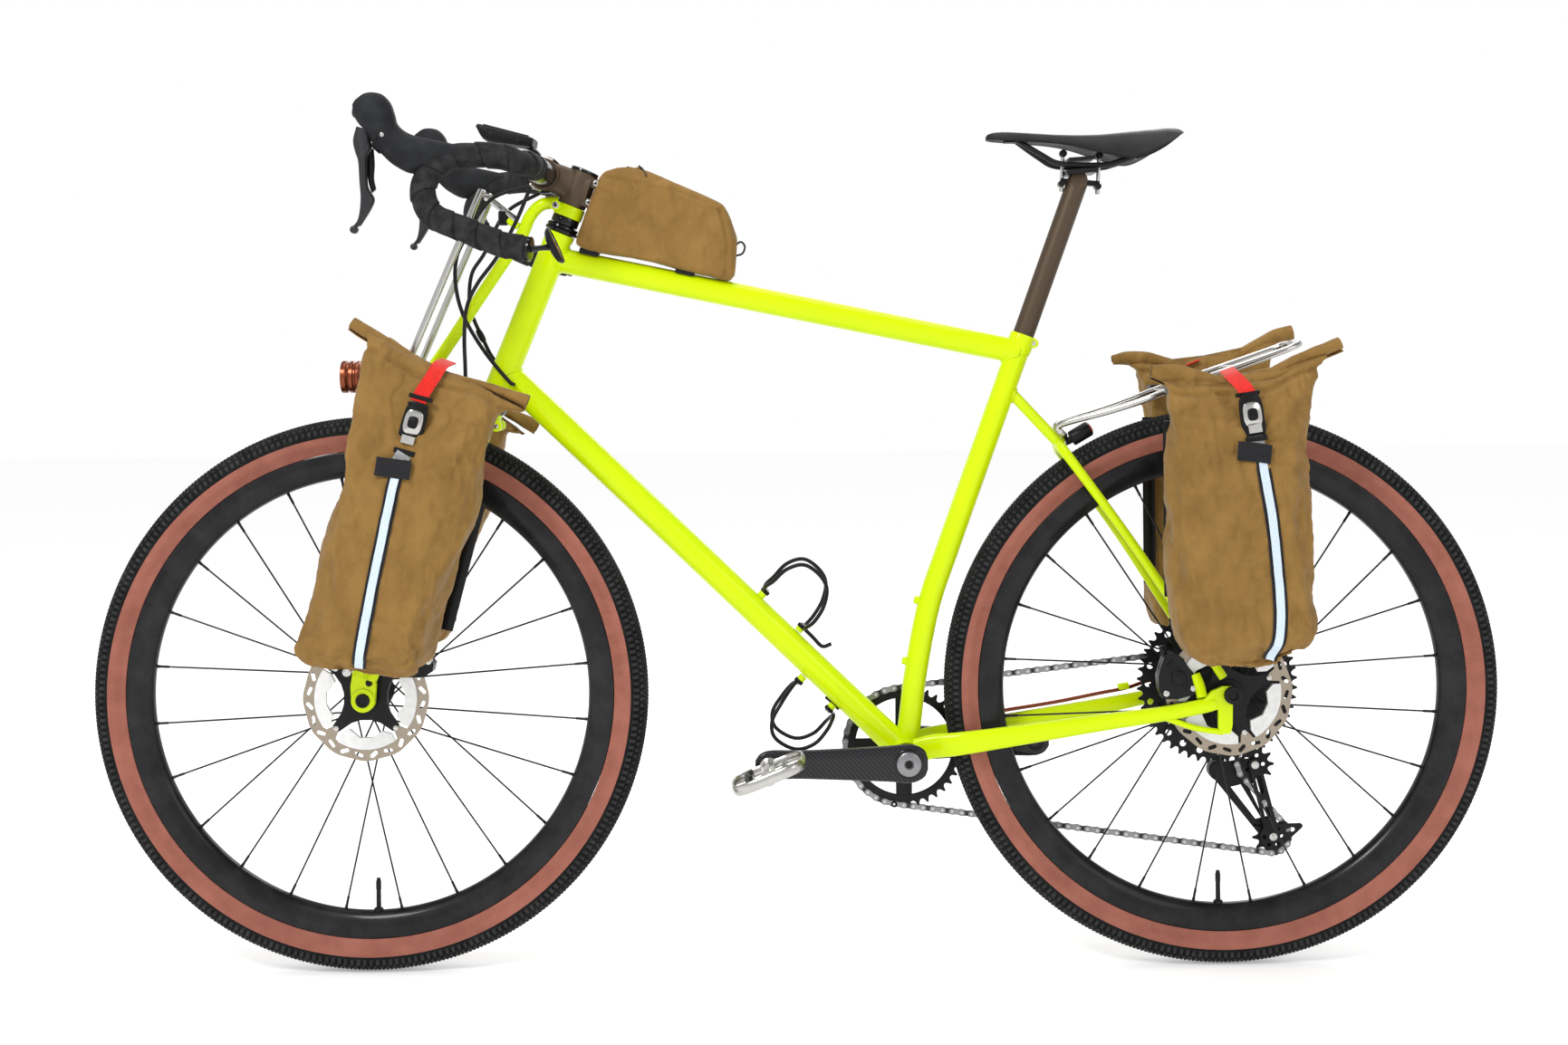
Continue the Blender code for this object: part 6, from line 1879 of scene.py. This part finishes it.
def buckle(tree, points, side, fallback):
    """Ladder lock, oval black release body with its silver frame, and the plate under it."""
    top, bottom = mm(*points)
    along = (bottom - top).normalized()
    beside = Vector((-along.z, 0.0, along.x))
    mid = top.lerp(bottom, 0.5)
    base = on_skin(tree, mid.x, mid.z, side, 0.0, fallback)

    def at(share, lift):
        spot = top.lerp(bottom, share)
        edge = on_skin(tree, spot.x, spot.z, side, 0.0, fallback)
        return Vector((spot.x, 0.5 * (base.y + edge.y) + side * lift, spot.z))

    parts = []
    for share, lift, long, wide, deep, finish in (
        (0.5, 0.0048, 0.06, 0.029, 0.006, PLASTIC),
        (0.44, 0.009, 0.03, 0.0225, 0.004, POLISHED),
        (0.44, 0.0112, 0.015, 0.0125, 0.003, PLASTIC),
    ):
        oval = [along * (c * long / 2) + beside * (s * wide / 2) for c, s in squared(28, 0.62, 0.62)]
        rings = []
        for level, shrink in ((-0.5, 0.94), (-0.3, 1.0), (0.3, 1.0), (0.5, 0.9)):
            centre = at(share, lift) + Y * (side * level * deep)
            rings.append([centre + out * shrink for out in oval])
        parts.append((loft(rings), finish))
    for share, size, lift, finish in (
        (0.04, (0.005, 0.0055, 0.029), 0.0062, PLASTIC),
        (0.16, (0.0034, 0.0045, 0.025), 0.0085, PLASTIC),
        (0.72, (0.01, 0.004, 0.016), 0.0088, BOLT),
        (0.92, (0.006, 0.005, 0.026), 0.0066, PLASTIC),
    ):
        parts.append((block(at(share, lift), size, atan2(-along.z, along.x)), finish))
    return parts


def pannier(name, side, body, spec, seed):
    obj = make(name + "_skin", [(bag_body(spec, side), "olive_cloth")], body, [name], 180)
    top_z = min(p[1] for p in spec["mouth"]) / 1000 - 0.03

    def hold(p):
        return p.z > top_z or abs(p.y) < spec["near"][0] / 1000 + 0.004

    settle(obj, 14, 2.2, 0.035, 0.009, hold)
    finer(obj, 2)
    creased(obj, 0.0045, seed, spec["buckle"][1], spec["seams"], spec["mouth"], spec["strap"][-1])
    tree = surface_of(obj)
    fallback = side * spec["far"][3] / 1000
    roll = rolled_top(spec["roll"], spec["roll_high"], 0.024, side, spec["roll_y"])
    make(name + "_roll", [(roll, "olive_cloth")], body, [name], 50)
    parts = []
    for key, width, lift, thick, steps, finish in (
        ("strap", 0.017, 0.0008, 0.0012, 6, "black_webbing"),
        ("strap", 0.01, 0.0031, 0.0006, 6, "reflective_tape"),
        ("patch", 0.023, 0.0052, 0.0014, 4, "black_webbing"),
        ("grey", 0.019, 0.003, 0.001, 4, "grey_webbing"),
    ):
        parts.append((strap(tree, spec[key], width, lift, thick, side, fallback, steps), finish))
    path = [Vector((p.x, side * p.y, p.z)) for p in spline(mm(*spec["red"]), 6)]
    wide = Vector((spec["red_across"][0], 0, spec["red_across"][1])).normalized() * 0.0095
    rings = []
    for i, p in enumerate(path):
        thick = heading(path, i).cross(wide).normalized() * 0.0008
        rings.append([p - wide - thick, p + wide - thick, p + wide + thick, p - wide + thick])
    parts.append((loft(rings), "red_webbing"))
    parts += buckle(tree, spec["buckle"], side, fallback)
    make(name + "_straps", parts, body, [name], 40, 0.0004)
    make(name + "_mount", rail_mount(spec, side), body, [name], 40, 0.0008)


def rail_mount(spec, side):
    """Black back rail and hooks between the bag and its rack."""
    y = spec["near"][2]
    rail = mm(*[(x, z, side * (y - 4.5)) for x, z in spec["rail"]])
    parts = [(sweep(rail, (0.0032, 0.0085), 12), PLASTIC)]
    for x, z, reach in spec["hooks"]:
        start, end = mm((x, z, side * reach), (x, z, side * (y + 1)))
        parts.append((block((start + end) / 2, (0.012, abs(end.y - start.y), 0.012)), PLASTIC))
    return parts


FRONT_SPEC = {
    "front": (
        (
            -512, 405,
        ), (-550, 412), (-582, 418), (-600, 426), (-607, 437), (-607.5, 451), (-603, 472), (-594, 503),
        (
            -581, 555,
        ), (-567, 608), (-553.5, 650), (-543, 687), (-534, 723), (-526, 765), (-521, 786), (-531, 812),
    ),
    "back": (
        (
            -488, 402,
        ), (-468, 401), (-457, 409), (-450, 421), (-445, 434), (-441, 449), (-436, 467), (-426, 498),
        (
            -410, 549,
        ), (-396, 591), (-385.5, 627), (-378, 658), (-372, 692), (-364, 716), (-346, 724), (-327, 722),
    ),
    "near": (84, 74, 71, 70.5, 70.5, 71, 73, 76, 82, 90, 102),
    "far": (160, 172, 177, 178, 178, 177, 172, 164, 152, 138, 121),
    "mouth": (
        (-546, 822), (-531, 810), (-504, 798), (-478, 784), (-456, 771), (-440, 764), (-408, 756),
        (-382, 746), (-355, 731), (-331, 720),
    ),
    "roll": (
        (-545, 831), (-518, 814), (-488, 797), (-462, 781), (-440, 769), (-416, 762), (-392, 755),
        (-366, 746), (-329, 731),
    ),
    "roll_high": (19, 21, 18, 14, 12, 11, 12, 16, 23),
    "roll_y": 0.111,
    "strap": ((-480, 644), (-491, 592), (-502, 540), (-512, 490), (-521, 445), (-527, 414)),
    "patch": ((-504, 658), (-483, 655), (-461, 652)),
    "grey": ((-470, 672), (-476, 662), (-480, 650)),
    "red": ((-428, 783, 96), (-434, 778, 124), (-440, 764, 142), (-449, 748, 154), (-455, 734, 163)),
    "red_across": (0.94, -0.34),
    "buckle": ((-451, 742), (-472, 668)),
    "seams": (
        (
            (-382, 685), (-398, 607), (-423, 523), (-439, 476), (-454, 439), (-465, 424), (-481, 416),
            (-523, 423), (-578, 432), (-593, 447),
        ),
        ((-540, 758), (-480, 730), (-420, 712), (-372, 704)),
    ),
    "rail": ((-397, 601), (-439, 445)),
    "hooks": ((-532, 590, 66), (-556, 470, 66)),
}
FRONT_FAR_SPEC = {
    **FRONT_SPEC,
    "back": (
        (
            -492, 404,
        ), (-480, 404), (-472, 411), (-464, 423), (-459, 436), (-455, 451), (-450, 469), (-440, 500),
        (
            -424, 551,
        ), (-410, 593), (-398.5, 629), (-392, 656), (-388, 676), (-384, 690), (-372, 694), (-352, 684),
    ),
    "mouth": (
        (-546, 800), (-531, 788), (-504, 772), (-478, 754), (-456, 740), (-440, 730), (-408, 720),
        (-388, 709), (-365, 695), (-345, 682),
    ),
    "roll": (
        (-545, 809), (-518, 790), (-488, 771), (-462, 753), (-440, 738), (-416, 728), (-395, 719),
        (-374, 709), (-343, 693),
    ),
    "red": ((-428, 750, 96), (-434, 745, 124), (-440, 736, 142), (-449, 728, 154), (-455, 720, 163)),
    "buckle": ((-453, 726), (-473, 660)),
    "rail": ((-478, 601), (-520, 445)),
}
REAR_SPEC = {
    "front": (
        (548, 402), (516, 404), (490, 411), (473, 426), (465, 450), (460.5, 486), (457.5, 531),
        (457, 581), (457.4, 632), (460.4, 682), (459.5, 715), (456, 738), (451, 750),
    ),
    "back": (
        (575, 402), (597, 410), (615, 423), (627, 438), (632.5, 458), (634, 486), (633.6, 531),
        (633, 581), (632, 630), (629, 678), (636, 715), (645, 750), (657, 778),
    ),
    "near": (94, 84, 81, 80.5, 80.5, 81, 84, 88, 94, 102, 112),
    "far": (162, 174, 179, 180, 180, 179, 175, 167, 156, 144, 132),
    "mouth": (
        (441, 751), (459, 744), (477, 742), (498, 740), (534, 743), (560, 742), (580, 747), (606, 762),
        (642, 772), (664, 780),
    ),
    "roll": (
        (440, 762), (458, 759), (478, 757), (510, 751), (534, 747), (560, 745), (584, 756), (612, 771),
        (644, 783), (673, 795),
    ),
    "roll_high": (21, 30, 31, 22, 12, 10, 15, 17, 21, 21),
    "roll_y": 0.122,
    "strap": ((563, 654), (573, 580), (578, 520), (581, 472), (579, 440), (572, 413)),
    "patch": ((533, 667), (553, 665), (573, 662)),
    "grey": ((556, 684), (558, 672), (560, 660)),
    "red": ((536, 764, 104), (537, 758, 128), (543, 749, 146), (548, 740, 158), (551, 731, 165)),
    "red_across": (0.93, 0.36),
    "buckle": ((549, 737), (558, 676)),
    "seams": (
        (
            (470, 683), (466, 610), (465, 530), (470, 470), (478, 440), (495, 424), (530, 412), (566, 410),
            (596, 421), (617, 439), (623, 470), (622, 530), (620, 600), (621, 671),
        ),
        ((466, 712), (540, 704), (632, 712)),
    ),
    "rail": ((470, 700), (470, 480)),
    "hooks": ((475, 737, 50),),
}
REAR_FAR_SPEC = {
    **REAR_SPEC,
    "front": (
        (548, 402), (516, 406), (498, 413), (484, 428), (478, 452), (475, 488), (474, 533),
        (473, 583), (472.4, 634), (472, 684), (468, 722), (460, 752), (450, 768),
    ),
    "mouth": (
        (441, 770), (459, 768), (477, 766), (498, 762), (534, 756), (560, 756), (580, 768), (606, 784),
        (642, 796), (664, 803),
    ),
    "roll": (
        (430, 776), (450, 779), (475, 778), (501, 772), (542, 761), (574, 766), (597, 780), (625, 795),
        (650, 807), (672, 812),
    ),
    "roll_high": (14, 20, 20, 18, 12, 12, 15, 17, 21, 21),
    "red": ((536, 772, 104), (537, 770, 128), (543, 762, 146), (548, 750, 158), (551, 738, 165)),
}


def top_bag():
    """Wedge-shaped bag on the top tube, on two posts, with its zip, end panel seam and rear loop."""
    lower = (
        (
            -277, 931,
        ), (-262, 923), (-235, 918), (-205, 913), (-173, 905.6), (-136, 895), (-107, 888.6), (-84, 883),
        (-74, 890),
    )
    upper = (
        (
            -275, 943,
        ), (-262, 974), (-249, 1004), (-235, 1024), (-196, 1027), (-150, 1007), (-106, 988), (-86, 975),
        (-71, 936),
    )
    widths = (20, 25, 27, 27.5, 28, 27.5, 26.5, 25, 19)
    body = contour_shape(lower, upper, widths, 6, 40, powers=(0.36, 0.5), taper=0.14)
    obj = make("top_tube_bag_skin", [(body, "olive_cloth")], "frame", ["top_tube_bag"], 180)

    def hold(p):
        return p.z < 0.905 - (p.x + 0.14) * 0.2

    settle(obj, 12, 1.6, 0.02, 0.004, hold)
    finer(obj, 2)
    top_seam = ((-239, 1017), (-195, 1008), (-150, 998), (-117, 987), (-92, 972))
    end_seam = ((-92, 972), (-84, 945), (-82, 915), (-87, 888))
    creased(obj, 0.0018, 5.0, None, (top_seam, end_seam))
    ridge = [p + Y * 0.01 + Z * 0.0004 for p in spline(mm(*upper), 6)[10:46]]
    flap_side = pairs((-238, 1021), (-217, 1024.5), (-194.7, 1030), (-193, 1021))
    parts = [
        (sweep(ridge, (0.0045, 0.0009), 8), "black_webbing"),
        (sweep([p + Z * 0.001 for p in ridge], (0.0016, 0.001), 8), BOLT),
        (plate([flap_side], -0.013, 0.013), "olive_cloth"),
    ]
    for pad in mm((-261, 921), (-138, 895)):
        parts.append((block(pad, (0.024, 0.028, 0.007), 0.24), "hood_rubber"))
        parts.append((rod(pad - Z * 0.014, pad, 0.0042, 20), LIME))
    flap = spline(mm((-196, 1027, -8), (-190, 1022, -14), (-186, 1014, -20)), 4)
    loop = mm((-74, 928), (-66, 933), (-61, 927), (-64, 918), (-73, 915))
    parts += [
        (block(pt(-206, 1029.5, 4), (0.013, 0.005, 0.0024), 0.2), PLASTIC),
        (sweep(flap, (0.0008, 0.007), 12, X), "black_webbing"),
        (tube(loop, 0.0013, 5, 8), "black_webbing"),
    ]
    make("top_tube_bag_trim", parts, "frame", ["top_tube_bag"], 40)


# Stage


def spread_over(tree, value, start, end, first, last):
    inputs = {"Value": value, "From Min": start, "From Max": end, "To Min": first, "To Max": last}
    return add(tree, "ShaderNodeMapRange", inputs).outputs["Result"]


def placed(name, data, at=(0.0, 0.0, 0.0)):
    made = bpy.data.objects.new(name, data)
    made.location = at
    bpy.context.scene.collection.objects.link(made)
    return made


def stage():
    """White room: bright round the horizon, dimmer overhead, with soft lamps on all sides."""
    world = bpy.data.worlds.new("studio")
    bpy.context.scene.world = world
    world.use_nodes = True
    tree = world.node_tree
    direction = add(tree, "ShaderNodeTexCoord").outputs["Generated"]
    height = add(tree, "ShaderNodeSeparateXYZ", {"Vector": direction}).outputs["Z"]
    height = add(tree, "ShaderNodeMath", {0: height}, operation="ABSOLUTE").outputs[0]
    back = tree.nodes["Background"]
    back.inputs["Color"].default_value = (1.0, 1.0, 1.0, 1.0)
    tree.links.new(spread_over(tree, height, 0.28, 0.6, 1.0, 0.42), back.inputs["Strength"])
    more = {"Specular_IOR_Level": 0.2, "Emission_Color": (1.0, 1.0, 1.0, 1.0)}
    pale = Finish("pale_floor", (0.95, 0.95, 0.95), 0.0, 0.9, **more)
    away = pale.add("ShaderNodeVectorMath", "Value", {0: pale.place}, operation="LENGTH")
    glow = spread_over(pale.tree, away, 0.9, 3.2, 0.3, 0.45)
    pale.tree.links.new(glow, pale.shader.inputs["Emission Strength"])
    mesh = bpy.data.meshes.new("floor")
    size = 14.0
    mesh.from_pydata(
        [(-size, -size, 0), (size, -size, 0), (size, size, 0), (-size, size, 0)], [], [(0, 1, 2, 3)],
    )
    mesh.materials.append(pale.material)
    floor = placed("floor", mesh)
    for name, spot, power, wide in (
        ("key", (-1.5, -2.5, 3.0), 66.0, 0.9),
        ("fill", (2.2, -2.4, 2.0), 12.0, 1.4),
        ("top", (0.0, 0.3, 3.4), 38.0, 2.0),
        ("back", (0.8, 3.0, 2.6), 28.0, 1.4),
    ):
        data = bpy.data.lights.new(name, "AREA")
        data.energy = power
        data.size = wide
        aim = Vector((0.0, 0.0, 0.5)) - Vector(spot)
        placed(name, data, spot).rotation_euler = aim.to_track_quat("-Z", "Y").to_euler()


def camera():
    data = bpy.data.cameras.new("camera")
    data.sensor_width = 36.0
    data.lens = 48.12
    data.shift_x = -0.0023
    data.shift_y = -0.108
    eye = placed("camera", data)
    level = Matrix.Translation((-0.007, -2.7, 0.789)) @ Matrix.Rotation(pi / 2, 4, "X")
    eye.matrix_world = level @ Matrix.Rotation(radians(-0.52), 4, "Z")
    bpy.context.scene.camera = eye
    bpy.context.scene.view_settings.view_transform = "Standard"


def build():
    camera()
    stage()
    frame_skin()
    chainstay(-1)
    chainstay(1)
    seatstays()
    fork()
    fork_strut()
    headset()
    wheels()
    handlebar()
    for side in (-1, 1):
        hood(side)
        lever(side)
    stem()
    computer()
    bar_mirror()
    front_rack()
    headlamp()
    rear_rack()
    taillight()
    cages()
    saddle()
    seatpost()
    chain()
    chainring()
    cranks()
    pedal(-1)
    pedal(1)
    cassette()
    wraps = chain_wraps()
    jockey("jockey_upper", JOCKEY_UPPER, wraps[2], "upper_jockey")
    jockey("jockey_lower", JOCKEY_LOWER, wraps[3], "lower_jockey")
    derailleur()
    calipers()
    hoses()
    pannier("front_pannier_left", -1, "steering", FRONT_SPEC, 1.0)
    pannier("front_pannier_right", 1, "steering", FRONT_FAR_SPEC, 2.0)
    pannier("rear_pannier_left", -1, "frame", REAR_SPEC, 3.0)
    pannier("rear_pannier_right", 1, "frame", REAR_FAR_SPEC, 4.0)
    top_bag()


MATERIALS = make_materials()
build()
